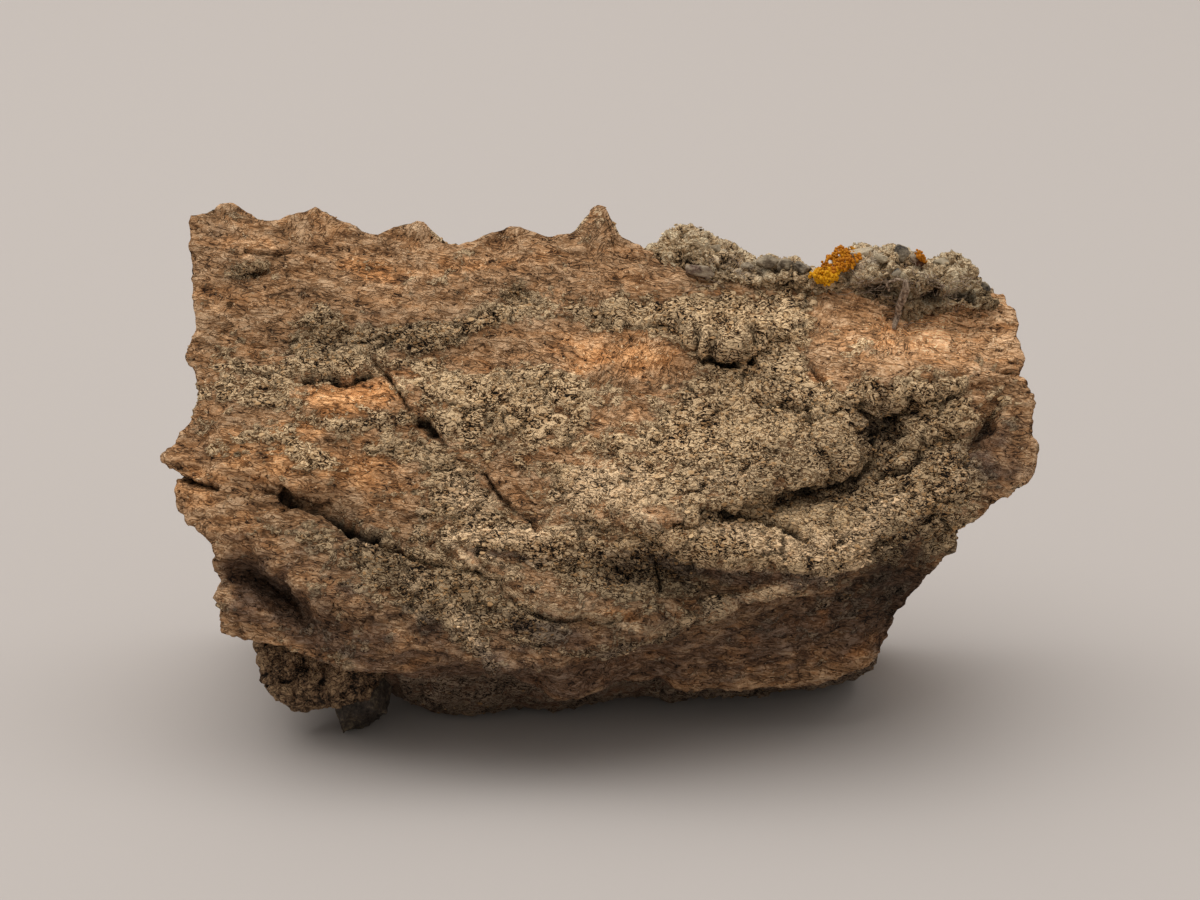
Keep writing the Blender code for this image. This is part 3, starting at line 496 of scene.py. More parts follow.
class Paint:
    """A material's node tree while it is being put together."""

    def __init__(self, name: str, roughness: float) -> None:
        """Starts a material whose surface is this rough and, being dry mineral, shines little."""
        self.material = bpy.data.materials.new(name)
        self.material.use_nodes = True
        self.nodes = self.material.node_tree.nodes
        self.links = self.material.node_tree.links
        self.shader = self.nodes["Principled BSDF"]
        self.shader.inputs["Roughness"].default_value = roughness
        self.shader.inputs["Specular IOR Level"].default_value = 0.25

    def add(self, kind: str, inputs: dict, out: int | str = 0, stops: Sequence = (), **settings) -> Socket:
        """Adds one node with its settings, input values and links.

        Args:
            kind: The node's type, without the words ShaderNode.
            inputs: Values or sockets for its inputs, by name or number.
            out: Which of its outputs to return.
            stops: The places and hex colours of a colour ramp.
            **settings: Properties of the node itself.
        Returns:
            The output socket.
        """
        node = self.nodes.new("ShaderNode" + kind)
        for key, value in settings.items():
            setattr(node, key, value)
        for key, value in inputs.items():
            if isinstance(value, Socket):
                self.links.new(value, node.inputs[key])
            else:
                node.inputs[key].default_value = value
        for number, (place, colour) in enumerate(stops):
            elements = node.color_ramp.elements
            element = elements[number] if number < 2 else elements.new(place)
            element.position, element.color = place, linear(colour)
        return node.outputs[out]

    def summed(self, start: Socket | float, *parts: tuple[Socket, float]) -> Socket:
        """The sum of a start value and of each part's socket times its weight."""
        for socket, weight in parts:
            start = self.add("Math", {0: socket, 1: weight, 2: start}, operation="MULTIPLY_ADD")
        return start

    def mottled(
        self,
        size: float,
        stretch: tuple = (1, 1, 1),
        turn: float = 0.0,
        detail: float = 3.0,
        curl: float = 0.0,
    ) -> Socket:
        """Noise of 0 to 1.

        Args:
            size: The size of its lumps in millimetres.
            stretch: How much longer they are along the jaw, out of its face and up it.
            turn: How far the first direction of the stretch is turned up the face, in degrees.
            detail: How many finer layers it has.
            curl: How strongly it is warped.
        Returns:
            The socket.
        """
        place = {
            "Vector": self.add("TexCoord", {}, "Object"),
            "Rotation": (-FACE.lean, -math.radians(turn), 0),
            "Scale": tuple(size * MM * k for k in stretch),
        }
        place = self.add("Mapping", place, vector_type="TEXTURE")
        noise = {"Vector": place, "Scale": 1.0, "Detail": detail, "Roughness": 0.6, "Distortion": curl}
        return self.add("TexNoise", noise)

    def curled(
        self, size: float, stretch: tuple = (1, 1, 1), turn: float = 0.0, gap: float = 0.09
    ) -> Socket:
        """0 in thin winding gaps and 1 between them, by how far warped noise is from its middle value.

        Args:
            size: The size of the noise's lumps in millimetres; the gaps lie about half as far apart.
            stretch: How much longer they are along the jaw, out of its face and up it.
            turn: How far the first direction of the stretch is turned up the face, in degrees.
            gap: How far from its middle value of 0.5 the noise is where a gap ends.
        Returns:
            The socket.
        """
        noise = self.mottled(size, stretch, turn, detail=1.5, curl=1.0)
        away = self.add("Math", {0: noise, 1: 0.5}, operation="SUBTRACT")
        away = self.add("Math", {0: away}, operation="ABSOLUTE")
        return self.add("MapRange", {0: away, 1: 0.0, 2: gap}, interpolation_type="SMOOTHSTEP")

    def finish(self, colour: Socket, height: Socket, depth: float) -> bpy.types.Material:
        """Joins the colour and the fine relief to the surface.

        Args:
            colour: The base colour's socket.
            height: A socket of 0 to 1 for the relief that is finer than the mesh.
            depth: How deep that relief is, in millimetres.
        Returns:
            The finished material.
        """
        self.links.new(colour, self.shader.inputs["Base Color"])
        bump = self.add("Bump", {"Height": height, "Distance": depth * MM})
        self.links.new(bump, self.shader.inputs["Normal"])
        return self.material


@dataclass(frozen=True)
class FossilBone:
    """Permineralised jaw bone, iron-stained and weathered, with dried clay and salts stuck to it.

    Clean bone is tan to ochre and streaked along its grain: strands 0.2 mm wide, and creases 0.4 mm apart
    that are darker, partly as painted shade. Clay is olive brown, in curls 0.3 mm wide whose gaps are
    painted nearly black as shade. Salts bloom pale on its tops. Colours run from the darkest gaps to the
    lightest tops. Umber stains with painted shade, and the light value's painted light and shade, finish it.
    """

    bone: tuple = ((0.12, "#382417"), (0.5, "#bb8e64"), (0.9, "#f5cfa6"))
    clay: tuple = ((0.2, "#1a1008"), (0.5, "#b48a5d"), (0.84, "#f3d2a5"))
    ochre: str = "#ffead0"
    # the tint that umber stains and painted shade multiply the colour by
    umber_and_shade: str = "#a6a6b2"
    salt: str = "#f5d3a8"
    strand: float = 0.24
    crease: float = 0.8
    chip: float = 0.7
    curl: float = 0.56
    relief: float = 0.4

    def build(self) -> bpy.types.Material:
        """The bone's material, which reads the jaw's point values."""
        paint = Paint("weathered_fossil_bone", 0.9)
        names = ("clay", "salt", "tone", "ochre", "umber_and_shade", "light", "steep")
        clay, salt, tone, ochre, umber_and_shade, light, steep = (
            paint.add("Attribute", {}, "Fac", attribute_name=name) for name in names
        )
        # the patterns: bone grain runs level, or up the face where the value steep is 1
        level = paint.mottled(self.strand, (3, 1, 1), -14, curl=0.8)
        upright = paint.mottled(self.strand, (2.6, 1, 1), 66, curl=0.8)
        strands = paint.add("Mix", {0: steep, 2: level, 3: upright})
        level = paint.curled(self.crease, (3.2, 1, 1), -10, gap=0.08)
        upright = paint.curled(self.crease, (2.8, 1, 1), 58, gap=0.08)
        creases = paint.add("Mix", {0: steep, 2: level, 3: upright})
        chips = paint.mottled(self.chip, (1.7, 1, 1), -28, detail=5.0, curl=1.2)
        curls, cracks = paint.curled(self.curl, (1.9, 1, 1), -8), paint.curled(2.6, gap=0.02)
        grit, mottle = paint.mottled(0.2, curl=0.6), paint.mottled(1.7, detail=4.0)
        pits = paint.summed(paint.mottled(0.55, detail=2.0), (mottle, 0.7))
        pits = paint.add("MapRange", {0: pits, 1: 1.0, 2: 1.06}, interpolation_type="SMOOTHSTEP")
        tone = paint.summed(tone, (mottle, 0.7))

        # clean bone, and its rusty stains
        # the creases and pits make the bone darker in them: painted shade in part
        strand_tone = paint.summed(-1.04, (tone, 1.0), (strands, 0.5), (chips, 0.45), (creases, 0.28))
        strand_tone = paint.summed(strand_tone, (curls, 0.1), (pits, -0.3))
        bone = paint.add("ValToRGB", {0: strand_tone}, stops=self.bone)
        rusty = paint.summed(-1.55, (paint.mottled(2.0, (2.6, 1, 1), -6, detail=4.0, curl=0.6), 3.4))
        stained = paint.add("Math", {0: ochre, 1: rusty}, operation="MAXIMUM", use_clamp=True)
        stained = {0: stained, 6: bone, 7: linear(self.ochre)}
        bone = paint.add("Mix", stained, 2, data_type="RGBA", blend_type="MULTIPLY")

        # clay where its value, broken up by grit and curls, is high enough
        # the gaps between curls and in cracks are darker: painted shade in them
        curl_tone = paint.summed(-1.49, (tone, 1.0), (curls, 0.7), (cracks, 0.3), (grit, 1.1))
        crust = paint.add("ValToRGB", {0: curl_tone}, stops=self.clay)
        covered = paint.summed(clay, (grit, 0.5), (curls, 0.5))
        covered = paint.add("MapRange", {0: covered, 1: 0.85, 2: 1.05}, interpolation_type="SMOOTHSTEP")
        colour = paint.add("Mix", {0: covered, 6: bone, 7: crust}, 2, data_type="RGBA")

        # salts on the curls, umber stains with painted shade, and the painted light and shade of large areas
        bloom = paint.summed(salt, (paint.mottled(0.45, detail=4.0, curl=0.8), 2.4))
        bloom = paint.add("MapRange", {0: bloom, 1: 1.45, 2: 1.6}, interpolation_type="SMOOTHSTEP")
        bloom = paint.add("Math", {0: bloom, 1: curls}, operation="MULTIPLY")
        colour = paint.add("Mix", {0: bloom, 6: colour, 7: linear(self.salt)}, 2, data_type="RGBA")
        stained = {0: umber_and_shade, 6: colour, 7: linear(self.umber_and_shade)}
        colour = paint.add("Mix", stained, 2, data_type="RGBA", blend_type="MULTIPLY")
        colour = paint.add("VectorMath", {0: colour, "Scale": light}, operation="SCALE")

        grain = paint.summed(strands, (creases, 0.6), (curls, 0.2), (pits, -0.5))
        crumbly = paint.summed(grit, (curls, 1.2), (cracks, 0.7))
        relief = paint.add("Mix", {0: covered, 2: grain, 3: crumbly})
        return paint.finish(colour, relief, self.relief)


@dataclass(frozen=True)
class Crumbs:
    """Loose mineral crumbs: matt and dusty, each grain a shade of its own and pale where salt lies."""

    name: str
    shades: tuple
    salt: str = "#f5d3a8"

    def build(self) -> bpy.types.Material:
        """The crumbs' material, which reads their shade and salt values."""
        paint = Paint(self.name, 0.95)
        grit = paint.mottled(0.3)
        shade, salt = (paint.add("Attribute", {}, "Fac", attribute_name=name) for name in ("shade", "salt"))
        tone = paint.summed(-0.2, (shade, 1.0), (grit, 0.4))
        colour = paint.add("ValToRGB", {0: tone}, stops=self.shades)
        colour = paint.add("Mix", {0: salt, 6: colour, 7: linear(self.salt)}, 2, data_type="RGBA")
        return paint.finish(colour, grit, 0.1)


CLAY_CRUMBS = Crumbs("dried_clay_crumbs", ((0.08, "#2a1d11"), (0.5, "#ab865c"), (0.92, "#dab98c")))
GRIT = Crumbs("river_grit", ((0.08, "#33281d"), (0.5, "#a68f6e"), (0.92, "#dfcaa8")))


@dataclass(frozen=True)
class MixedStones:
    """Chert, limestone and ironstone: each stone has a colour of its own, dusted with paler silt."""

    dust: str = "#b3a48c"

    def build(self) -> bpy.types.Material:
        """The stones' material, which reads each stone's tint."""
        paint = Paint("mixed_river_stones", 0.85)
        grit, mottle = paint.mottled(0.35), paint.mottled(1.4)
        tint = paint.add("Attribute", {}, "Color", attribute_name="tint")
        light = paint.add("MapRange", {0: grit, 1: 0.3, 2: 0.7, 3: 0.6, 4: 1.35})
        colour = paint.add("VectorMath", {0: tint, "Scale": light}, operation="SCALE")
        dusty = paint.add("MapRange", {0: mottle, 1: 0.42, 2: 0.62, 3: 0.0, 4: 0.75})
        colour = paint.add("Mix", {0: dusty, 6: colour, 7: linear(self.dust)}, 2, data_type="RGBA")
        return paint.finish(colour, grit, 0.18)


@dataclass(frozen=True)
class GravellySediment:
    """Grey-brown river silt set hard round grit and pebbles: matt, pitted and paler where it is limy."""

    silt: tuple = ((0.14, "#302214"), (0.5, "#dfba8c"), (0.86, "#f8e2bc"))
    limy: str = "#eadcc6"

    def build(self, name: str = "gravelly_sediment") -> bpy.types.Material:
        """The sediment's material, which reads its tone, salt and light values."""
        paint = Paint(name, 0.95)
        names = ("salt", "tone", "light")
        salt, tone, light = (paint.add("Attribute", {}, "Fac", attribute_name=name) for name in names)
        grit, mottle = paint.mottled(0.2, curl=0.6), paint.mottled(1.6, detail=4.0)
        curls, cracks = paint.curled(0.7, (1.4, 1, 1), gap=0.1), paint.curled(2.2, gap=0.02)
        # the curls' and cracks' gaps are darker: painted shade in them
        tone = paint.summed(-1.07, (tone, 1.0), (mottle, 0.7), (curls, 0.3), (cracks, 0.25), (grit, 0.7))
        colour = paint.add("ValToRGB", {0: tone}, stops=self.silt)
        colour = paint.add("Mix", {0: salt, 6: colour, 7: linear(self.limy)}, 2, data_type="RGBA")
        # the light value paints shade in holes and under the lip
        colour = paint.add("VectorMath", {0: colour, "Scale": light}, operation="SCALE")
        return paint.finish(colour, paint.summed(grit, (curls, 0.85), (cracks, 0.6)), 0.4)


@dataclass(frozen=True)
class Ironstone:
    """A pebble of ironstone: near black, fine-grained, with a dull sheen and silt on its broken faces."""

    shades: tuple = ((0.36, "#1d1814"), (0.52, "#453c34"), (0.68, "#86775f"))

    def build(self) -> bpy.types.Material:
        """The stone's material."""
        paint = Paint("ironstone", 0.65)
        grit, mottle = paint.mottled(0.4), paint.mottled(2.4)
        tone = paint.add("Mix", {0: 0.45, 2: mottle, 3: grit})
        return paint.finish(paint.add("ValToRGB", {0: tone}, stops=self.shades), grit, 0.18)


@dataclass(frozen=True)
class CrustoseLichen:
    """A crust lichen of egg-yellow to orange granules, matt, and darker towards brown where they lie lower:
    painted shade.
    """

    dark: str = "#5a3405"
    yolk: str = "#d99c0c"
    orange: str = "#b8700f"

    def build(self) -> bpy.types.Material:
        """The lichen's material, which reads its shade and ripe values."""
        paint = Paint("crustose_lichen", 0.8)
        grit = paint.mottled(0.25)
        shade, ripe = (paint.add("Attribute", {}, "Fac", attribute_name=name) for name in ("shade", "ripe"))
        colour = {0: ripe, 6: linear(self.yolk), 7: linear(self.orange)}
        colour = paint.add("Mix", colour, 2, data_type="RGBA")
        shade = paint.summed(shade, (grit, 0.5))
        shade = paint.add("MapRange", {0: shade, 1: 0.2, 2: 0.7}, interpolation_type="SMOOTHSTEP")
        colour = paint.add("Mix", {0: shade, 6: linear(self.dark), 7: colour}, 2, data_type="RGBA")
        return paint.finish(colour, grit, 0.1)


@dataclass(frozen=True)
class DryRoot:
    """A dead root: grey-brown bark, wrinkled along its length, and matt."""

    shades: tuple = ((0.35, "#574539"), (0.65, "#b8a28c"))

    def build(self) -> bpy.types.Material:
        """The root's material."""
        paint = Paint("dry_root", 0.9)
        bark = paint.mottled(0.25, (1.0, 1.0, 4.0))
        return paint.finish(paint.add("ValToRGB", {0: bark}, stops=self.shades), bark, 0.1)


@dataclass(frozen=True)
class BackgroundPaper:
    """Matt background paper, warm grey."""

    colour: str = "#bab4b0"

    def build(self) -> bpy.types.Material:
        """The paper's material."""
        paint = Paint("background_paper", 0.95)
        paint.shader.inputs["Base Color"].default_value = linear(self.colour)
        return paint.material


# -------- the jaw


class Cover(Enum):
    """What can lie on a place of the jaw, or darken it as painted shade, and how much of it lies where no
    spots say so.
    """

    CLAY = 0.62
    SALT = 0.12
    OCHRE = 0.1
    UMBER = 0.4


COVERS: dict[Cover, tuple[Spot, ...]] = {
    Cover.CLAY: (
        (0, 0, 60, 40, 0, 0.07), (2, 10.8, 8.4, 2.2, -6, -0.8), (37, 11.6, 9, 3.2, 0, -0.7),
        (45, 1.4, 4, 5, 30, -0.6), (-15, -20.6, 1.2, 5, 40, 0.7), (-11, -10, 6.4, 0.8, 2, 0.7),
        (13, -17.4, 7, 0.6, 26, 0.3), (1, -21.4, 5, 0.6, 12, 0.6), (-27.6, 6.6, 5, 1.3, -6, -0.4),
        (-31.6, 14.8, 3.2, 1.8, 5, 0.6), (-21, 13.6, 8, 1.5, 8, 0.8), (-30, 10.4, 4.6, 2.6, 0, 1.1),
        (-22, 12.6, 5, 1.4, 5, 0.5), (-13.6, 14.6, 4.8, 1.4, 12, 0.7), (-4.6, 16, 5, 1.4, 5, 0.4),
        (-19.4, 10.2, 2.4, 1.2, 0, 0.6), (-40.4, 10, 6, 2.2, 0, 0.4), (-38.6, 6.6, 5.6, 2, 4, 0.8),
        (-28.8, 3.6, 6, 1.6, -4, 0.6), (-40.4, 1, 5, 2.6, 0, 0.5), (-32.8, -0.4, 3.6, 1.4, -20, 0.8),
        (-23, 0, 5, 2.2, -10, 0.4), (-8, 7.4, 11, 2.2, -4, 0.7), (-12, 4, 10, 4.4, -10, 0.8),
        (2, 3, 7, 3.4, 0, 0.4), (2.8, 15.4, 4.4, 2.4, 0, 0.8), (14.4, 13.4, 7.6, 4.6, -8, 1.1),
        (21.4, 5, 10, 5.6, 0, 0.9), (38, 2.6, 12, 7, 6, 1), (11.6, 1.6, 7, 4, 0, 0.7),
        (-15, -5.6, 5.6, 3.4, -30, 0.6), (1, -3.6, 10, 2.4, 0, 0.5), (20.6, -7.4, 10, 4.6, 0, 0.9),
        (3.4, -13.4, 8.6, 4, -6, 1), (20, -10.2, 9, 2.2, 0, 0.8), (35, -6.4, 7, 3.6, 10, 0.8),
        (-31.6, -10.4, 9, 2.4, -12, 0.4), (-21.8, -15, 8, 4.6, -30, 0.6), (-8.6, -19.4, 4.6, 2.2, -16, 0.9),
        (-15, -15, 4, 2.4, -20, 0.7), (-30.4, -21.4, 7.4, 2.2, -6, 0.35), (25, -19, 14, 5.6, 10, 0.1),
        (-40.6, 20.6, 2.6, 1.2, 8, 0.9), (-9.2, 17.2, 1.6, 2.2, 40, 0.6), (22, 16.2, 2.2, 3, 0, 0.7),
        (-16, 19, 12, 2.4, -6, 0.25), (28, -17.6, 9, 2, 22, 0.35), (39.6, -9.6, 3, 2.6, 40, 0.5),
        (2.4, 4, 3.4, 1.6, 10, -0.7), (-1.5, -1.4, 4.4, 0.9, -6, -0.6), (-11.5, -4.6, 3, 0.9, -8, -0.6),
        (7, -7.2, 2.4, 0.7, -10, -0.8), (-15, 9.8, 3.6, 0.9, 4, -0.7), (26, 8.6, 3, 1.4, -30, -0.7),
        (31, 11.6, 4, 1.6, 0, 0.45), (-46, 8, 3, 6, 0, 0.2), (-2.8, 12, 3.4, 2.2, 30, 0.3),
    ),
    Cover.SALT: (
        (1.6, -3.6, 6, 2.8, -6, 1.1), (-2, -7.4, 5, 2, -20, 0.6), (14.4, -3.4, 4, 1, 10, 0.7),
        (25.8, 2, 3.2, 1, 5, 0.6), (14.8, -9.2, 6.4, 1.3, -16, 1), (23.6, -10.6, 6, 1.6, 8, 1.1),
        (30, -8.6, 3.4, 1.6, 24, 0.8), (-11, -9.4, 6, 0.7, 4, 1.3), (5.8, -8, 3, 0.7, -30, 1),
        (-15.6, -4.4, 3.2, 2.6, -50, 0.8), (-19.6, -8.6, 1.2, 3, -10, 0.8), (-13.4, -6.8, 2.6, 1.4, 0, 0.8),
        (-7.4, -11.4, 3.4, 1.4, 0, 0.8), (-20.8, -15.6, 1.4, 3, 20, 0.7), (-27, -10.4, 1.8, 1, 0, 0.8),
        (-14.6, -20.4, 0.9, 4.6, 40, 1), (-11.6, -12.6, 4.6, 0.6, -32, 0.9), (5.4, -14.6, 4, 2.6, 0, 0.5),
        (12, -17.6, 6.4, 0.4, 28, 0.6), (3, -21.2, 4.6, 0.4, 14, 0.9), (20.6, -15.4, 3, 0.4, 10, 0.5),
        (33, -5.6, 3.4, 1.2, 10, 0.9), (40, -4, 3.4, 1.4, 30, 0.6), (29.4, -11.6, 5, 0.6, 26, 0.7),
        (8, -10.2, 3, 0.8, -40, 0.7), (0, 27, 1, 1.6, 0, 0.6), (-42.6, 27.4, 1.4, 1, 0, 0.6),
        (26, 18.6, 16, 0.5, -2, 0.5), (-28.4, -23.8, 3, 0.5, 0, 0.6), (-18.6, -26.2, 3.6, 0.5, 0, 0.7),
        (-42.6, -17, 1, 4.6, 0, 0.5),
    ),
    Cover.OCHRE: (
        (-28.6, 6.2, 5.6, 1.7, -4, 1.3), (-40, -0.6, 8, 2.6, 0, 0.5), (2, 10.8, 8, 2.6, -6, 0.9),
        (-3, 8.6, 3, 2, 36, 0.4), (-26, -3.4, 8, 2.6, -14, 0.6), (35, 13.4, 11, 3, -3, 0.35),
        (-26.6, 20.4, 4, 1.6, -10, 1.1), (-14, 21.6, 10, 1.4, 0, 0.7), (-46.4, -4.8, 3, 2.4, 0, 0.7),
        (-34, 0, 14, 8, -10, 0.35), (34, 12, 12, 4, 0, 0.15), (2.4, 3, 2.6, 2, 0, 0.6),
        (2.4, -18.6, 2.6, 0.5, -10, 1.3), (9, -9.8, 2.6, 0.9, -8, 1.2), (31, -22.4, 4, 1.2, 20, 0.9),
        (17.4, -21.8, 1.6, 0.5, 0, 1.2), (26, -19, 1.4, 0.8, 60, 0.9), (-41, 23.6, 8, 1.6, 0, 0.5),
        (-38, 14, 6, 1.4, 0, 0.4), (-14.6, 6, 3, 1, 0, 0.5), (24, 8, 3, 1.4, 0, 0.6),
        (-20, -22, 6, 1.6, -8, 0.4), (-33.4, 3, 4, 1.4, 0, 0.4),
    ),
    # umber stains, and painted shade under the keel, in the gash, in deep holes and at the lower left
    Cover.UMBER: (
        (-32, -15, 14, 8, -20, 0.4), (-12, -22, 12, 4, 0, 0.3), (-36.6, -16.6, 7.4, 2.4, -44, 1),
        (25, -20.6, 18, 5.4, 12, 0.9), (-10, -27, 20, 2.2, 0, 0.9), (34.6, -15.6, 6, 5, 50, 0.7),
        (32.6, 3.2, 3.6, 2.8, 35, 0.9), (24.6, -5, 8, 1, 22, 0.7), (3, -20.4, 9, 1.2, 6, 0.3),
        (2, -24, 12, 2.4, 4, 0.6), (-40.6, -17.6, 3, 5, 0, 0.4), (-6, -19.6, 5, 1.6, -10, 0.7),
        (-19, -19.6, 1.6, 1.2, 0, 0.8), (6, -12.4, 8, 1.2, -8, 0.5), (44.6, -0.6, 5, 4, 40, 0.8),
        (-29, -21, 8, 3, -10, 0.35), (-44, 18, 3, 8, 0, 0.2), (3, -14.4, 8, 3, -4, 0.35),
        (-19, -24, 10, 2.4, -8, 0.35), (-11, -11.6, 5, 0.7, -4, 0.9), (15, -13.5, 6, 0.8, -4, 1),
        (9, -13.6, 3, 1, -30, 0.6), (14, 10, 4, 1, -10, 0.5), (21.6, -13.8, 7, 0.9, 6, 0.7),
        (-30, 15.6, 16, 2, 0, 0.2), (-46, 1, 4, 3, 0, 0.3),
    ),
}


@dataclass(frozen=True)
class JawForm:
    """The large form of the jaw, which its solid has too. Lengths are in millimetres."""

    rim_stands: float = -2.5
    face_swell: float = 2.2
    slot_depth: float = 2.6
    slot_length: float = 0.72
    slot_fade: float = 0.25
    wall_at_rim: float = 5.5
    trough_at_rim: float = 21.0
    trough_starts: Pair = (2.0, 13.0)
    trough_ends: Pair = (45.0, 39.0)
    trough_depth: float = 6.5
    topside: Pair = (14.0, 17.0)
    underside: Pair = (-12.0, -20.0)
    back_depth: float = 38.0
    belly: float = 3.8
    belly_at: float = -17.0
    belly_reach: float = 9.0
    belly_set_back: float = 1.4
    undercut: float = 1.3
    undercut_at: float = 0.16
    undercut_reach: float = 0.1
    uneven: Layers = ((13, 1.1, 3), (5.5, 0.55, 8))
    crests: tuple[Crest, ...] = (
        Crest(((-43, -17), (-34, -20.4), (-23, -23.4)), 1.6, 1.6, 3),
        Crest(((-43, -11.2), (-37.4, -13), (-31, -16.4)), 1.3, 5, 0.9),
        Crest(((3.5, -8.2), (7, -8.8), (11.5, -11.4), (18.4, -12.8), (24, -12.4)), 1.9, 5, 0.9),
        Crest(((-17.2, -10.6), (-13.8, -9), (-9, -8.6), (-5.2, -9.2)), 0.9, 0.5, 5),
        Crest(((10.4, -7.4), (18.4, -5.2), (26, -3.4), (30.2, 0.8), (30.8, 4.8), (35, 5.8)), 1.8, 6, 0.7),
        Crest(((11, 12.6), (15, 10.4), (18, 11.6)), 1.7, 3.4, 1),
    )
    hollows: tuple[Spot, ...] = (
        (-36.4, -16.6, 6.6, 1.9, -43, 4.2), (6, -14.6, 10.5, 2.3, -9, 3.6), (32.6, 2.8, 2.9, 2.3, 35, 5),
        (24.6, -4.6, 7.2, 1.4, 22, 3.2), (38.6, 0.6, 4.2, 1, 24, 1.8), (43.8, 2.4, 4, 1, 58, 2.2),
        (-40.4, 20.2, 2.6, 1, 8, 2), (-9, 17.3, 1.6, 1.2, 40, 1.6), (-29, 11.6, 6, 2, 6, 1.2),
        (-31.6, -6.4, 4.5, 0.8, -24, 1.4), (37, 15.2, 9, 2.6, 4, 1.3), (33, -16, 5, 6, 40, 2.6),
        (39, 8, 6, 4, 0, -1.2), (-6, 3, 14, 8, -20, -1), (-2, -27, 4, 2, 0, -2.6),
    )
    back_hollows: tuple[Spot, ...] = (
        (27, 6, 9, 5, 14, 2.4), (12, -8, 15, 1.8, 8, 1.6), (-14, -10, 14, 3, -7, -1.8),
        (-36, -3, 5, 6, 30, 2.2), (34, -14, 5, 6, -30, 1.6),
    )

    def front(self, x: Array, t: Array) -> Array:
        """n of the broad face.

        From the rim down to the keel it is a plane with a parabola's swell, and below the keel it
        turns under by a power of the share of the way down. Crests are added and hollows taken away.

        Args:
            x: Where along the jaw, in metres.
            t: Where up the face, in metres.
        Returns:
            How far it stands out of the face's plane, in metres.
        """
        rim, edge = at_line(LEVEL_RIM, x), at_line(LOWER_EDGE, x)
        keel, keel_stands = at_line(KEEL, x), at_line(KEEL, x, 2)
        up = np.clip((t - keel) / (rim - keel), 0, 1.5)
        down = np.clip((keel - t) / np.maximum(keel - edge, MM), 0, 1)
        swell = self.face_swell * MM * 2 * up * (1 - up)
        above = keel_stands + (self.rim_stands * MM - keel_stands) * up + swell
        below = keel_stands + (at_line(LOWER_STANDS, x) - keel_stands) * down**0.85
        lift = sum(crest.lift(x, t) for crest in self.crests) - spotted(self.hollows, x, t)
        return np.where(t > keel, above, below) + lift * MM

    def back(self, x: Array, t: Array) -> Array:
        """n of the back: a wall that thickens downwards by a power, with a sine for each tooth slot.

        Args:
            x: Where along the jaw, in metres.
            t: Where up the face, in metres.
        Returns:
            How far it stands out of the face's plane, in metres.
        """
        rim, edge = at_line(BACK_RIM, x), at_line(BACK_LOWER, x)
        down = np.clip((rim - t) / (rim - edge), 0, 1)
        filled = smooth_step(*mm(self.trough_starts), x)
        thick = self.wall_at_rim + (self.trough_at_rim - self.wall_at_rim) * filled
        wall = -(thick + (self.back_depth - thick) * down**0.8)
        place = np.interp(x, RIDGES, np.arange(len(RIDGES)))
        slot = np.abs(np.sin(np.pi * place)) * (1 - filled)
        slot = slot * smooth_step(self.slot_length, self.slot_length - self.slot_fade, down)
        hollow = spotted(self.back_hollows, x, t) * smooth_step(1.0, 0.85, down)
        return (wall + self.slot_depth * slot + hollow) * MM

    def ring(self, share: float, front: Array, back: Array) -> Array:
        """Face points of the broken edge, this share of the way from the front round to the back.

        Args:
            share: 0 at the front's outline and 1 at the back's.
            front: (x, t, n) round the front.
            back: (x, t, n) round the back.
        Returns:
            Points that leave the front's outline fast and reach the back's slowly, by a cube, sunk
            where the trough is and let down where the belly hangs.
        """
        x, t = front[:, 0] / MM, front[:, 1] / MM
        lowest = smooth_step(*self.underside, t)
        belly = self.belly * lowest * np.exp(-(((x - self.belly_at) / self.belly_reach) ** 2))
        trough = self.trough_depth * smooth_step(*self.topside, t)
        trough = trough * smooth_step(*self.trough_starts, x) * smooth_step(*self.trough_ends, x)
        turn = 1 - (1 - share) ** 3
        sag = belly * math.sin(math.pi * share**self.belly_set_back) + trough * math.sin(math.pi * share)
        groove = self.undercut * lowest * math.exp(-(((share - self.undercut_at) / self.undercut_reach) ** 2))
        ring = front + (back - front) * np.array([turn, turn, share])
        ring[:, 1] = FACE.above_ground(ring[:, 1] + (groove - sag) * MM, ring[:, 2])
        return ring


def spread(line: Array, count: int) -> Array:
    """count + 1 points evenly along a line, which is turned to run upwards."""
    line = line if line[0, 1] < line[-1, 1] else line[::-1]
    so_far = np.concatenate([[0], np.cumsum(np.hypot(*np.diff(line, axis=0).T))])
    wanted = np.linspace(0, so_far[-1], count + 1)
    return np.stack([np.interp(wanted, so_far, line[:, i]) for i in range(2)], axis=-1)


def across(line: Array, count: int) -> Array:
    """count + 1 points of a line that runs left to right, evenly spaced in x."""
    x = np.linspace(line[:, 0].min(), line[:, 0].max(), count + 1)
    return np.stack([x, at_line(line, x)], axis=-1)


def fill_outline(lower: Array, right: Array, rim: Array, left: Array) -> Array:
    """A grid of (x, t) inside four edges: the mean of the two ways across, less the corners' mean.

    Args:
        lower: The lower edge's points, left to right.
        right: The right edge's points, bottom to top.
        rim: The upper edge's points, left to right.
        left: The left edge's points, bottom to top.
    Returns:
        The grid, rows from the bottom.
    """
    a = np.linspace(0, 1, len(lower))[None, :, None]
    b = np.linspace(0, 1, len(left))[:, None, None]
    upright = (1 - b) * lower[None] + b * rim[None]
    level = (1 - a) * left[:, None] + a * right[:, None]
    corners = (1 - b) * ((1 - a) * lower[0] + a * lower[-1]) + b * ((1 - a) * rim[0] + a * rim[-1])
    return upright + level - corners


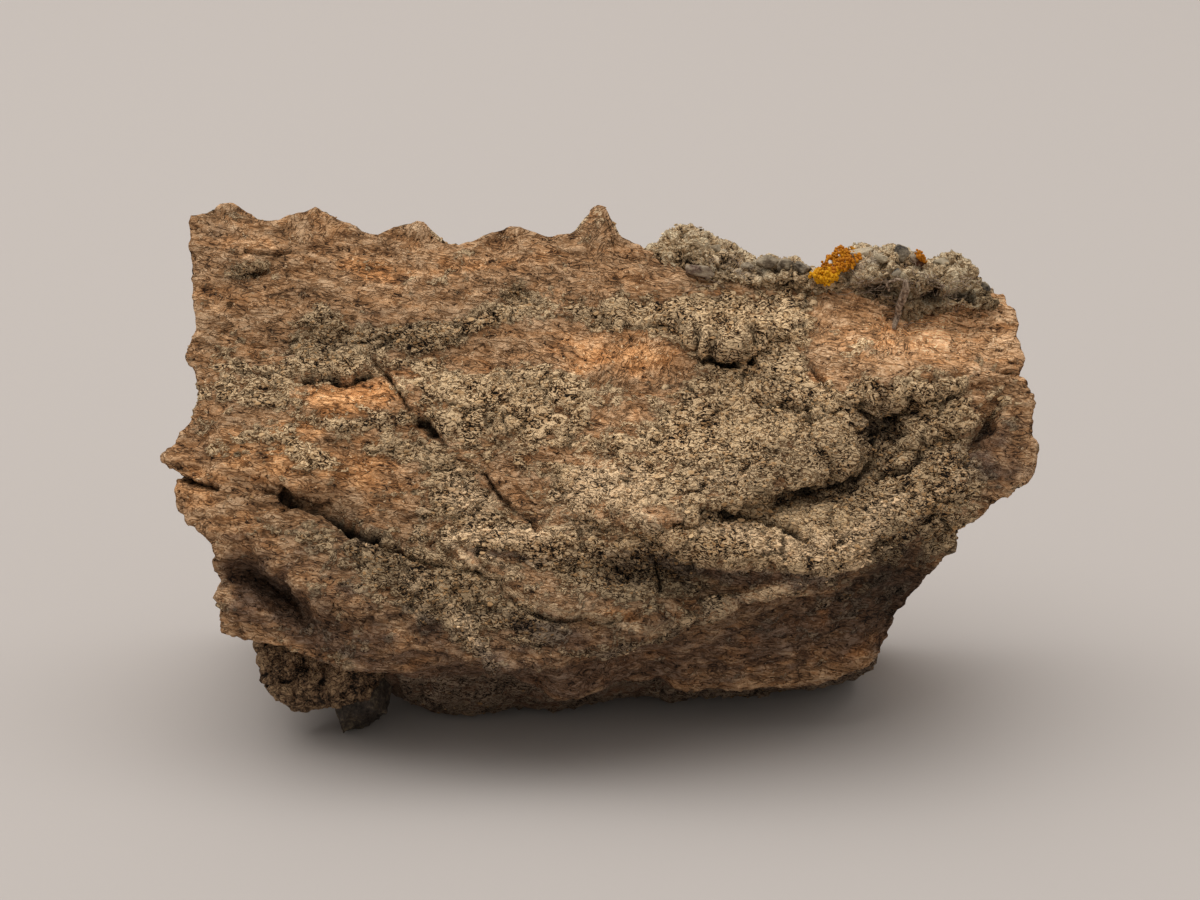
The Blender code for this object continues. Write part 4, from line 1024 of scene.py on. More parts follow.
@dataclass
class JawBone:
    """The broken length of jaw: its front, the broken edge all round and its back, in one skin.

    Fine crests, cracks and the edges that salts dried along, which also carry a painted highlight, are
    lines on its face. Covers, spots of painted light and shade, heaps of clay and the places with upright
    or slanting grain are spots.
    """

    form: JawForm = JawForm()
    columns: int = 312
    rows: int = 200
    fine_rings: tuple[float, ...] = (0.012, 0.03, 0.055)
    coarse_rings: int = 25
    quiet_height: float = 2.5
    fine_crests: tuple[Crest, ...] = (
        Crest((
            (11.1, -10.6), (15.3, -12), (19.4, -12.1), (24.5, -12.4), (28, -10.9), (31.8, -8.9),
            (38.3, -6.8), (41.3, -4.1),
        ), 0.8, 2.2, 0.4),
        Crest((
            (0, -21.8), (5.9, -20.7), (8.9, -19.8), (13, -18), (14.7, -17.1), (18.3, -15.4), (23, -15.4),
            (26.4, -14.1),
        ), 0.8, 0.7, 0.5),
        Crest(((-16.7, -11.5), (-12.4, -13.8), (-4.6, -17.2), (0, -18.4), (5.7, -18.9)), 0.8, 1.5, 0.4),
        Crest(((-17.6, -17.2), (-14.7, -20.7), (-11.8, -24.1)), 0.9, 0.6, 0.6),
        Crest(((-39.1, -10.3), (-35.6, -14.4), (-30.5, -18.4), (-26.2, -18.6)), 0.7, 2, 0.5),
        Crest(((-40.6, -13.4), (-37, -17.2), (-34.2, -19.4)), 0.7, 0.5, 0.5),
        Crest(((-38.4, -13.2), (-35, -16), (-31.4, -18.4)), 0.6, 0.4, 0.7),
        Crest(((-24.7, -19.2), (-22.2, -18.5), (-19.5, -20.3)), 0.6, 0.5, 0.4),
        Crest(((-42, -16), (-40, -15.6), (-37.8, -17.2)), 0.6, 0.5, 1.2),
        Crest(((-33.6, 8.4), (-30, 8.2), (-26.4, 8.5)), 0.7, 2.4, 0.25),
        Crest(((5, -7.4), (9.7, -9.2), (11.1, -10.4)), 0.6, 0.5, 1),
        Crest(((13.4, 12.4), (15.4, 10.6)), 0.5, 1.7, 1.7),
        Crest(((19.4, 7.4), (22, 5.4)), 0.8, 1.6, 1.4),
        Crest(((31, 8.6), (34, 7.6)), 0.8, 1.8, 1.2),
    )
    cracks: tuple[Crack, ...] = (
        Crack(((-25.9, 9.2), (-24.7, 8), (-23, 6.3), (-21.6, 4.4)), 0.45, 1.3, 0.5),
        Crack(((-20.4, 3), (-19.4, 2.4), (-18.6, 1.4)), 1.1, 1.9, 0.4),
        Crack(((-18.6, 1.4), (-17.2, 0.2)), 0.4, 1.2, 0.2),
        Crack(((-13.4, -3.4), (-11, -5.6), (-7.6, -8)), 0.42, 1.2, 0.3),
        Crack(((-38.2, -4.4), (-36.2, -4.5)), 0.4, 0.9, 0.2),
        Crack(((-36.2, -4.5), (-34.9, -5.6)), 1.5, 2.4, 0.5),
        Crack(((-34.9, -5.6), (-32.2, -7.4), (-28.8, -9.4)), 1.1, 2.2, 0.9),
        Crack(((-28.8, -9.4), (-25.4, -10.5)), 0.9, 2.2, 0.4),
        Crack(((-25.4, -10.5), (-21.8, -11.8), (-20, -12.7), (-13.2, -14)), 0.4, 0.9, 0.3),
        Crack(((-49.4, -2.4), (-46, -3.4), (-43.6, -4)), 0.5, 1.6, 0.3),
        Crack(((-17.3, -10.3), (-13.8, -8.8), (-9.2, -8.3), (-5.4, -9)), 0.35, 0.9, -0.2),
        Crack((
            (12.1, -7.4), (17.5, -5.9), (20.5, -5.2), (24.7, -4.1), (28.9, -2.6), (31.3, -1.1),
        ), 1.5, 0.9, 0.4),
        Crack(((30.2, 5.6), (30.6, 3), (31.2, 0)), 0.7, 1.5, 0.3),
        Crack(((30.6, 4.4), (32.4, 3.6), (34.6, 4)), 0.6, 1.6, 0.3),
        Crack(((31, 1.6), (33, 0.6), (35, 1.4)), 0.6, 1.6, 0.3),
        Crack(((11.2, 13.6), (11, 11.4), (12.6, 9.2), (15.4, 8.4)), 0.5, 1.3, 0.2),
        Crack(((16.8, 12.8), (17.8, 10.6), (17, 9)), 0.5, 1.3, 0.2),
        Crack(((12, -6.7), (15.3, -7.4), (19.2, -8.6), (23, -10)), 0.7, 1.3, 0.2),
        Crack(((32.3, -2.9), (35.4, -2.6), (36.8, -1.1)), 0.7, 1.5, 0.2),
        Crack(((6.8, -12.8), (7.4, -16.5)), 0.5, 1.3, 0.2),
        Crack(((23, 10.6), (25, 8.2), (26.6, 6.6)), 0.4, 0.9, 0.2),
        Crack(((35.2, 8.2), (37.6, 7.4), (38.6, 8.6), (41.6, 8.2)), 0.5, 1.1, 0.3),
        Crack(((35.6, 6.2), (39, 5), (41, 6.3)), 0.4, 0.9, 0.2),
        Crack(((40.6, 12), (43.5, 9.8), (47, 9)), 0.4, 0.7, 0.2),
        Crack(((-13.2, -12.6), (-10.3, -16.1), (-6.3, -18.4), (-1.2, -19), (4.6, -18.6)), 0.5, 0.8, 0.3),
        Crack(((17, 5), (21, 4), (24, 4.2)), 0.35, 0.8, 0.2),
        Crack(((-41, 22.9), (-38, 22.3), (-35.6, 22.4)), 0.35, 1, 0.3),
        Crack(((36.8, -8.2), (38.2, -7.4), (39.4, -8.4), (38.9, -10)), 0.4, 1.2, 0.3),
        Crack(((-33.7, 7.9), (-31.5, 8.2), (-29.8, 7.8), (-26.6, 8.1)), 0.5, 1.3, 0.4),
        Crack(((11.4, 9.4), (14, 9.2), (17.4, 9)), 0.7, 1.4, 0.3),
    )
    covers: dict[Cover, tuple[Spot, ...]] = field(default_factory=lambda: COVERS)
    # painted light at the right end where the cap's shadow falls, painted shade under the keel and at the
    # lower left, and lighter or darker patches elsewhere
    painted_light_and_tone: tuple[Spot, ...] = (
        (35, 13.4, 12, 4, -3, 1), (-28, 6.4, 5.6, 1.7, 0, 0.5), (2, 10.8, 8, 2.6, -6, 0.2),
        (38, 2.6, 9, 6, 0, 0.08), (13.8, 3, 7, 5, 0, 0.08), (1.4, -3.4, 6, 3, 0, 0.24),
        (-12, -9.4, 5, 1, 0, 0.2), (20, -10, 8, 2, 0, 0.1), (-24, 12.8, 14, 3.2, 4, -0.26),
        (-26, -12, 13, 4.6, -22, -0.44), (4, -18.4, 22, 3.2, 0, -0.4), (27, -2, 12, 5, 0, -0.2),
        (34, -11, 7, 3.4, 20, -0.44), (-22, 8.4, 7, 2.6, 0, 0.24), (-2, 0.6, 12, 5, 0, 0.16),
        (41, 16, 6, 3, 0, 0.45), (15, -3.4, 8, 3.2, 8, -0.2), (3, -11.4, 4.6, 2.2, 0, 0.3),
        (33, 9, 9, 2.4, 0, -0.14), (-43, 9, 5, 4, 0, 0.12), (-4, 19, 20, 5, 0, 0.07),
    )
    salt_and_highlight_edges: tuple[Path, ...] = (
        (
            (-16.5, -10.3), (-14.3, -12.6), (-11.4, -15.1), (-7.4, -16.6), (-2.9, -18.1), (2.8, -19.4),
            (6.2, -19.7), (10.7, -18.5), (14.1, -17.1), (18.6, -15.4), (22, -14.6), (25.4, -13.1),
            (31.1, -10.6),
        ),
        ((-16.6, -10), (-13.3, -9), (-9.7, -8.6), (-5.5, -9.1)),
        ((-17, -18.6), (-15, -20.6), (-12.6, -23)),
    )
    edge_reach: float = 0.42
    heaps: tuple[Spot, ...] = (
        (15, 12.6, 5, 4.4, 0, 1), (35, 4, 7, 6, 0, 0.9), (26, -1.6, 6, 2.4, 12, 0.6),
        (-30, 10.6, 4.6, 2, 0, 0.7), (-30, 14.4, 3.6, 1.6, 0, 0.4), (-8.6, -19.4, 5, 3, -16, 0.5),
        (5, -14, 8, 3, -6, 0.4), (-16, -5.6, 4, 3, -30, 0.3),
    )
    upright_grain: tuple[Spot, ...] = (
        (-42.7, 26.6, 2, 2.6, 0, 1), (-32.8, 26, 3.4, 3, 0, 1.2), (-21.1, 25, 2, 2, 0, 0.8),
        (-10.2, 25, 2.6, 2, 0, 0.8), (0, 26.4, 1.8, 3.6, 0, 1.2), (-46, -14, 3, 6, 0, 1),
    )
    slanting_grain: tuple[Spot, ...] = ((3, 10, 10, 5, 30, 1.2), (30, 13, 10, 4, 0, 0.8))

    def base_skin(self) -> tuple[Skin, Array]:
        """The smooth form before its detail.

        Returns:
            The skin in face points, and for each point how far it is from the front: 0 on the
            front, 0 to 1 on the broken edge and 1 on the back.
        """
        wide, high = self.columns, self.rows
        right, left = spread(RIGHT_BREAK, high), spread(LEFT_BREAK, high)
        front = fill_outline(across(LOWER_EDGE, wide), right, across(RIM, wide), left)
        front = np.concatenate([front, self.form.front(front[..., 0], front[..., 1])[..., None]], axis=-1)
        back = self.back_grid(wide // 2, high // 2, True)
        back = np.concatenate([back, self.form.back(back[..., 0], back[..., 1])[..., None]], axis=-1)
        back[..., 1] = FACE.above_ground(back[..., 1], back[..., 2])
        target = self.back_grid(wide, high, False)
        target_n = self.form.back(*np.moveaxis(self.back_grid(wide, high, True), -1, 0))
        target = round_the_edge(np.concatenate([target, target_n[..., None]], axis=-1))
        edge = round_the_edge(front)
        shares = np.linspace(0, 1, self.coarse_rings + 2)[1:-1] ** 1.25
        shares = self.fine_rings[-1] + (1 - self.fine_rings[-1]) * shares
        fine = [self.form.ring(share, edge, target) for share in self.fine_rings]
        coarse = [self.form.ring(share, edge, target)[::2] for share in shares]
        blocks = [front.reshape(-1, 3), *fine, *coarse, back.reshape(-1, 3)]
        away = np.repeat([0.0, *self.fine_rings, *shares, 1.0], [len(block) for block in blocks])
        starts = np.cumsum([0] + [len(block) for block in blocks])
        front_index = np.arange(len(blocks[0])).reshape(high + 1, wide + 1)
        back_index = starts[-2] + np.arange(len(blocks[-1])).reshape(high // 2 + 1, wide // 2 + 1)
        loops = [start + np.arange(len(block)) for start, block in zip(starts[1:-2], blocks[1:-1])]
        fine_loops = [round_the_edge(front_index), *loops[: len(fine)]]
        coarse_loops = [*loops[len(fine) :], round_the_edge(back_index)]
        faces = [
            grid_faces(front_index), self.band(fine_loops), self.halving(fine_loops[-1], coarse_loops[0]),
            self.band(coarse_loops), grid_faces(back_index)[:, ::-1],
        ]
        return Skin(np.concatenate(blocks), faces), away

    def back_grid(self, columns: int, rows: int, grounded: bool) -> Array:
        """(x, t) of the back; its lower edge runs on the ground, or where BACK_LOWER has it."""
        lower = across(BACK_LOWER, columns)
        if grounded:
            lower[:, 1] = FACE.above_ground(lower[:, 1], -self.form.back_depth * MM)
        right, left = spread(BACK_RIGHT, rows), spread(BACK_LEFT, rows)
        right[0], left[0] = lower[-1], lower[0]
        return fill_outline(lower, right, across(BACK_RIM, columns), left)

    def band(self, loops: list[Array]) -> Array:
        """Four-cornered faces between loops of equally many points."""
        return grid_faces(np.stack([np.append(loop, loop[0]) for loop in loops]))[:, ::-1]

    def halving(self, fine: Array, coarse: Array) -> Array:
        """Three triangles for each two steps of a fine loop and one step of a coarse one."""
        first, middle, last, following = fine[::2], fine[1::2], np.roll(fine[::2], -1), np.roll(coarse, -1)
        corners = ((first, coarse, middle), (middle, coarse, following), (middle, following, last))
        return np.concatenate([np.stack(triangle, axis=-1) for triangle in corners])

    def fibres(self, points: Array, x: Array, t: Array) -> Array:
        """The grain of the bone, about -1 to 1: wavy noise stretched 5 to 1 in the direction that rules.

        Args:
            points: Model points.
            x: Their places along the jaw.
            t: Their places up the face.
        Returns:
            The grain's height: level noise, with upright and slanting noise in their own places.
        """
        upright = np.clip(spotted(self.upright_grain, x, t), 0, 1)
        slanting = np.clip(spotted(self.slanting_grain, x, t), 0, 1) * (1 - upright)
        wave = unevenness(points, [(1.7, 0.4, 51), (0.8, 0.12, 52)])
        x, t = x + wave[:, 0], t + wave[:, 2]
        total = np.zeros(len(x))
        for degrees, share, seed in ((-6, 1 - upright - slanting, 53), (36, slanting, 54), (82, upright, 55)):
            turn = math.radians(degrees)
            along = x * math.cos(turn) + t * math.sin(turn)
            sideways = t * math.cos(turn) - x * math.sin(turn)
            place = np.stack([along / 1.5, sideways / 0.36, points[:, 1] / 1.2], axis=-1) / MM
            total += share * (lumps(place, seed) + 0.5 * lumps(place * [0.45, 0.45, 1], seed + 10))
        return total

    def cover(self, kind: Cover, x: Array, t: Array, points: Array, away: Array) -> Array:
        """How much of one cover lies at each point, 0 to about 1.2.

        Args:
            kind: Which cover.
            x: Where the points lie along the jaw.
            t: Their places up the face.
            points: The model points.
            away: How far they are from the front.
        Returns:
            The spots on the face, or patches of noise on the edge and back, broken up by finer noise.
        """
        front = smooth_step(0.12, 0.0, away)
        seed = 100 + list(Cover).index(kind)
        drawn_out = points * [0.55, 1, 1]
        ragged = 0.34 * lumps(drawn_out / (1.9 * MM), seed)
        ragged = ragged + 0.36 * lumps(drawn_out / (0.85 * MM), seed + 10)
        patches = kind.value + 0.5 * lumps(points / (7.0 * MM), seed + 20)
        spots = np.minimum(spotted(self.covers[kind], x, t), 1.2)
        return spots * front + patches * (1 - front) + ragged

    def clean_bone(self, points: Array, x: Array, t: Array) -> tuple[Array, Array]:
        """The relief and tone of bare bone: its fibres, chipped plates of two sizes and roughness.

        Args:
            points: The model points.
            x: Their places along the jaw.
            t: Their places up the face.
        Returns:
            The height in millimetres and the tone.
        """
        fibre = self.fibres(points, x, t)
        plates = smooth_step(0.0, 0.14, lumps(points * [0.5, 1, 1] / (1.7 * MM), 75))
        chips = smooth_step(0.05, 0.2, lumps(points * [0.6, 1, 1] / (1.0 * MM), 77))
        rough = 0.3 * lumps(points / (2.2 * MM), 73) + 0.16 * lumps(points / (0.9 * MM), 74)
        height = 0.11 * fibre + 0.24 * plates + 0.15 * chips + 0.9 * rough
        # the tone follows the fibres, plates and roughness of the height, so low places are darker: painted
        # shade in part
        return height, 0.5 + 0.16 * fibre + 0.12 * (plates - 0.5) + 0.2 * rough

    def crust(self, points: Array, x: Array, t: Array, cover: Array) -> tuple[Array, Array, Array, Array]:
        """The clay: its thickness, two sizes of curling ridge, and clods and ledges where it is heaped.

        Args:
            points: The model points.
            x: Their places along the jaw.
            t: Their places up the face.
            cover: How much clay lies at each.
        Returns:
            The share of clay, 0 to 1, its height in millimetres, its tone and its fissures, 0 to 1.
        """
        curled = points + unevenness(points, [(0.9, 0.28, 61), (2.4, 0.5, 65)])
        coarse, fine = ridged(curled / (1.0 * MM), 62), ridged(curled / (0.56 * MM), 63)
        clumps, wide = lumps(points / (2.8 * MM), 64), lumps(points / (5.0 * MM), 68)
        clod, next_clod, _ = nodules(curled / (3.4 * MM), 79)
        dome = 0.5 - clod**2
        ledges = smooth_step(0.0, 0.2, lumps(curled / (2.3 * MM), 69))
        ledges = ledges + 0.5 * smooth_step(0.05, 0.2, lumps(curled / (1.2 * MM), 70))
        heaped = 0.13 + 0.4 * np.clip(spotted(self.heaps, x, t), 0, 1)
        thick = 0.05 + 0.3 * np.clip(cover, 0, 1.2)
        height = thick + 0.17 * coarse + 0.13 * fine + heaped * (clumps + 0.5 * dome + 1.4 * ledges)
        # the tone follows the same ridges, clumps, clods and ledges as the height, so low places are darker:
        # painted shade in part, dirt in part
        tone = 0.34 + 0.18 * coarse + 0.12 * fine + 0.24 * clumps + 0.16 * dome + 0.12 * ledges + 0.16 * wide
        clay = smooth_step(0.38, 0.72, cover + 0.12 * coarse + 0.08 * fine + 0.1 * clumps)
        fissures = smooth_step(0.09, 0.0, next_clod - clod) * clay * smooth_step(-0.2, 0.3, clumps)
        return clay, height, tone, fissures

    def build(self) -> Skin:
        """The jaw's finished skin, with its point values.

        The smooth form is pushed about by the coarse unevenness that its solid has too. Then each
        point moves along its normal by the relief of the bone or of the clay, whichever lies there,
        and by the fine crests, cracks, holes and fissures.
        """
        skin, away = self.base_skin()
        x, t = skin.points[:, 0].copy(), skin.points[:, 1].copy()
        points = FACE.world(*skin.points.T)
        quiet = smooth_step(0.0, self.quiet_height * MM, points[:, 2])
        points = points + unevenness(points, self.form.uneven) * quiet[:, None]
        front = smooth_step(0.1, 0.0, away)
        cover = {kind: self.cover(kind, x, t, points, away) for kind in Cover}
        salted = np.clip(spotted(self.covers[Cover.SALT], x, t), 0, 1)
        cover[Cover.CLAY] = cover[Cover.CLAY] + 0.45 * salted * front
        bone, bone_tone = self.clean_bone(points, x, t)
        clay, crust, clay_tone, fissures = self.crust(points, x, t, cover[Cover.CLAY])

        wobble = unevenness(points, [(1.7, 0.35, 71), (0.7, 0.2, 72)])
        bent_x, bent_t = x + wobble[:, 0], t + wobble[:, 2]
        crests = sum(crest.lift(bent_x, bent_t) for crest in self.fine_crests) * front
        gape = np.clip(0.95 + 0.6 * lumps(points / (2.0 * MM), 67), 0.4, 1.3)
        cracks = sum(crack.lift(bent_x, bent_t) for crack in self.cracks) * front * gape
        near, _, mark = nodules(points / (2.6 * MM), 78)
        holes = smooth_step(0.2, 0.1, near) * (mark > 0.7)
        height = bone * (1 - clay) + crust * clay + crests + cracks - 0.5 * holes - 0.6 * fissures
        skin.points = points
        skin.pushed(height * quiet)

        # what darkens or lightens each point: painted shade in low places, stains, spots of painted light and
        # shade, and salt with a painted highlight along edges
        # painted shade: darker in cracks, holes and clay fissures and along the margins of the clay
        rims = np.exp(-(((clay - 0.3) / 0.22) ** 2)) * front
        sunk = smooth_step(-0.3, -1.3, cracks) + 0.6 * holes + 0.7 * fissures + 0.4 * rims
        # painted shade in the form's hollows and painted light on its crests
        stands = sum(crest.lift(x, t) for crest in self.form.crests) - spotted(self.form.hollows, x, t)
        ochre = smooth_step(0.2, 0.95, cover[Cover.OCHRE])
        # painted shade on the underside near the ground, added to the umber stain
        underside_shade = 0.8 * smooth_step(-22.0, -27.0, t / MM) * (1 - front)
        # salt along these edges, with a painted highlight on them
        distances = [np.abs(beside(mm(path), bent_x, bent_t)) for path in self.salt_and_highlight_edges]
        edge_salt_and_highlight = np.exp(-((np.min(distances, axis=0) / (self.edge_reach * MM)) ** 2)) * front
        # painted light and shade from the spots, the edges' highlight, the low places and the form's hollows
        # and crests, with the ochre stain lighter
        light = (1 + 0.4 * ochre) * (1 + spotted(self.painted_light_and_tone, x, t) * front + 0.3 * edge_salt_and_highlight)
        light = light * (1 - 0.85 * np.clip(sunk, 0, 1)) * (1 + 0.17 * np.clip(stands, -2.4, 0.6) * front)
        tone = bone_tone * (1 - clay) + clay_tone * clay
        salt = smooth_step(0.25, 0.95, cover[Cover.SALT]) * smooth_step(0.2, 0.55, tone)
        steep = spotted(self.upright_grain, x, t) + 0.7 * spotted(self.slanting_grain, x, t)
        skin.values = {
            "clay": clay,
            "salt": np.maximum(salt, 0.8 * edge_salt_and_highlight),
            "tone": tone,
            "ochre": ochre,
            "umber_and_shade": smooth_step(0.15, 0.95, cover[Cover.UMBER] + underside_shade),
            "light": light,
            "steep": smooth_step(0.3, 0.7, steep + 0.6 * lumps(points / (4.0 * MM), 66)),
            "cover": cover[Cover.CLAY],
        }
        return skin


# -------- grains and stones


def ball(subdivisions: int) -> tuple[Array, Array]:
    """A ball of radius 1.

    Args:
        subdivisions: 1 for 20 triangles; each further one makes 4 of every triangle.
    Returns:
        Its points, and the three points of each triangle.
    """
    form, mesh = bmesh.new(), bpy.data.meshes.new("ball")
    bmesh.ops.create_icosphere(form, subdivisions=subdivisions, radius=1.0)
    form.to_mesh(mesh)
    form.free()
    points, faces = np.empty(len(mesh.vertices) * 3), np.empty(len(mesh.loops), np.int32)
    mesh.vertices.foreach_get("co", points)
    mesh.loops.foreach_get("vertex_index", faces)
    bpy.data.meshes.remove(mesh)
    return points.reshape(-1, 3), faces.reshape(-1, 3)


def random_turns(chance: np.random.Generator, count: int) -> Array:
    """Random turns, from unit quaternions, as 3 by 3 matrices."""
    w, x, y, z = (q := chance.normal(size=(4, count))) / np.linalg.norm(q, axis=0)
    rows = [
        [1 - 2 * (y * y + z * z), 2 * (x * y - z * w), 2 * (x * z + y * w)],
        [2 * (x * y + z * w), 1 - 2 * (x * x + z * z), 2 * (y * z - x * w)],
        [2 * (x * z - y * w), 2 * (y * z + x * w), 1 - 2 * (x * x + y * y)],
    ]
    return np.moveaxis(np.array(rows), -1, 0)


@dataclass(frozen=True)
class Strewing:
    """Crumbs strewn over a skin: each is a 20-faced lump of its own size, shape and turn."""

    count: int
    least: float
    most: float
    seed: int
    sunk: float = 0.3
    flat: float = 0.6
    angular: float = 0.45
    drawn_out: Triple = (1.3, 1.0, 0.75)

    def over(self, host: Skin, weight: Array, shade: Array, salt: Array) -> Skin:
        """Crumbs on the host's points, more of them where the weight is greater.

        Args:
            host: The skin to strew them on.
            weight: How likely each of its points is to carry a crumb.
            shade: How light the crumbs on each of its points are, where 0.5 is plain.
            salt: How pale with salt they are.
        Returns:
            The crumbs' skin. A radius goes from least to most by the square of a random number, and
            each crumb is drawn out or squeezed in each of its directions.
        """
        chance = np.random.default_rng(self.seed)
        picks = chance.choice(len(weight), self.count, p=weight / weight.sum())
        shape, faces = ball(1)
        radius = (self.least + (self.most - self.least) * chance.random(self.count) ** 2) * MM
        stretch = chance.uniform(0.5, 1.6, (self.count, 1, 3))
        bumps = 1 + self.angular * chance.uniform(-1, 1, (self.count, len(shape), 1))
        lumpy = np.einsum("nij,nkj->nki", random_turns(chance, self.count), shape[None] * bumps * stretch)
        lumpy *= self.drawn_out
        normal = host.normals()[picks]
        height = np.einsum("nki,ni->nk", lumpy, normal)
        lumpy -= normal[:, None] * height[..., None] * (1 - self.flat)
        nudge = chance.normal(size=(self.count, 3)) * radius[:, None]
        nudge -= normal * (nudge * normal).sum(axis=1, keepdims=True)
        middle = host.points[picks] + nudge + normal * (radius * (self.flat - self.sunk - 0.3))[:, None]
        points = (middle[:, None] + lumpy * radius[:, None, None]).reshape(-1, 3)
        points[:, 2] = np.maximum(points[:, 2], 0.0)
        starts = np.arange(self.count)[:, None, None] * len(shape)
        own = shade[picks] * (0.8 + 0.4 * chance.random(self.count))
        values = {"shade": own, "salt": salt[picks] * (chance.random(self.count) < 0.75)}
        values = {key: np.repeat(value, len(shape)) for key, value in values.items()}
        return Skin(points, [(faces[None] + starts).reshape(-1, 3)], values)


class FrontMap:
    """The foremost n in each small cell of the face, to lay other pieces on what is there.

    A cell with no point takes the foremost of its neighbours', as many times over as it spreads.
    """

    empty: float = -1.0
    spreads: int = 8

    def __init__(self, points: Array, cell: float = 0.5) -> None:
        """Notes the foremost point in each cell.

        Args:
            points: Model points.
            cell: The cells' size in millimetres.
        """
        x, t, n = FACE.local(points)
        self.cell, self.low_x, self.low_t = cell * MM, x.min(), t.min()
        rows = int((t.max() - self.low_t) / self.cell) + 1
        columns = int((x.max() - self.low_x) / self.cell) + 1
        self.n = np.full((rows, columns), self.empty)
        np.maximum.at(self.n, self.place(x, t), n)
        for _ in range(self.spreads):
            padded = np.pad(self.n, 1, constant_values=self.empty)
            near = [padded[i : i + rows, j : j + columns] for i, j in np.ndindex(3, 3)]
            self.n = np.where(self.n == self.empty, np.max(near, axis=0), self.n)

    def place(self, x: Array, t: Array) -> tuple[Array, Array]:
        """The row and column of each face point's cell."""
        row = np.clip(((t - self.low_t) / self.cell).astype(int), 0, self.n.shape[0] - 1)
        return row, np.clip(((x - self.low_x) / self.cell).astype(int), 0, self.n.shape[1] - 1)

    def world(self, x: Array, t: Array, over: Array | float) -> Array:
        """Model points that stand this far over the foremost points there, in metres."""
        return FACE.world(x, t, self.n[self.place(x, t)] + over)


def broken(directions: Array, planes: int, seed: int) -> Array:
    """Radii of a broken stone: in each direction the nearest of some random planes, or at most 1.1.

    Args:
        directions: Unit vectors.
        planes: How many planes break it.
        seed: What they are drawn from.
    Returns:
        Its radius in each direction, a little rough.
    """
    chance = np.random.default_rng(seed)
    normals = chance.normal(size=(3, planes))
    slope = directions @ (normals / np.linalg.norm(normals, axis=0))
    reach = chance.uniform(0.55, 1.0, planes) / np.maximum(slope, 0.05)
    rough = 0.05 * lumps(directions * 4, seed) + 0.03 * lumps(directions * 10, seed)
    return np.minimum(reach.min(axis=-1), 1.1) + rough


@dataclass(frozen=True)
class Stone:
    """A broken stone set in the sediment. Its middle is given on the face, and its lengths in mm."""

    x: float
    t: float
    half: Triple
    turn: float
    colour: str
    sunk: float = 0.7

    def build(self, ground: FrontMap, seed: int) -> Skin:
        """The stone: a ball whose radii are a broken stone's, stretched, turned and set down.

        Args:
            ground: What it is set into.
            seed: What its form is drawn from.
        Returns:
            Its skin, with its tint.
        """
        shape, faces = ball(4)
        shape = shape * broken(shape, 11, seed)[:, None]
        turn = math.radians(self.turn)
        along, up, out = (shape * np.array(self.half) * MM).T
        x = self.x * MM + along * math.cos(turn) - up * math.sin(turn)
        t = self.t * MM + along * math.sin(turn) + up * math.cos(turn)
        middle = np.array([self.x * MM]), np.array([self.t * MM])
        n = ground.n[ground.place(*middle)] - 2 * self.sunk * self.half[2] * MM + self.half[2] * MM + out
        colour = np.tile(linear(self.colour), (len(shape), 1))
        return Skin(FACE.world(x, t, n), [faces], {"tint": colour})


# -------- sediment, foot, lichen and root


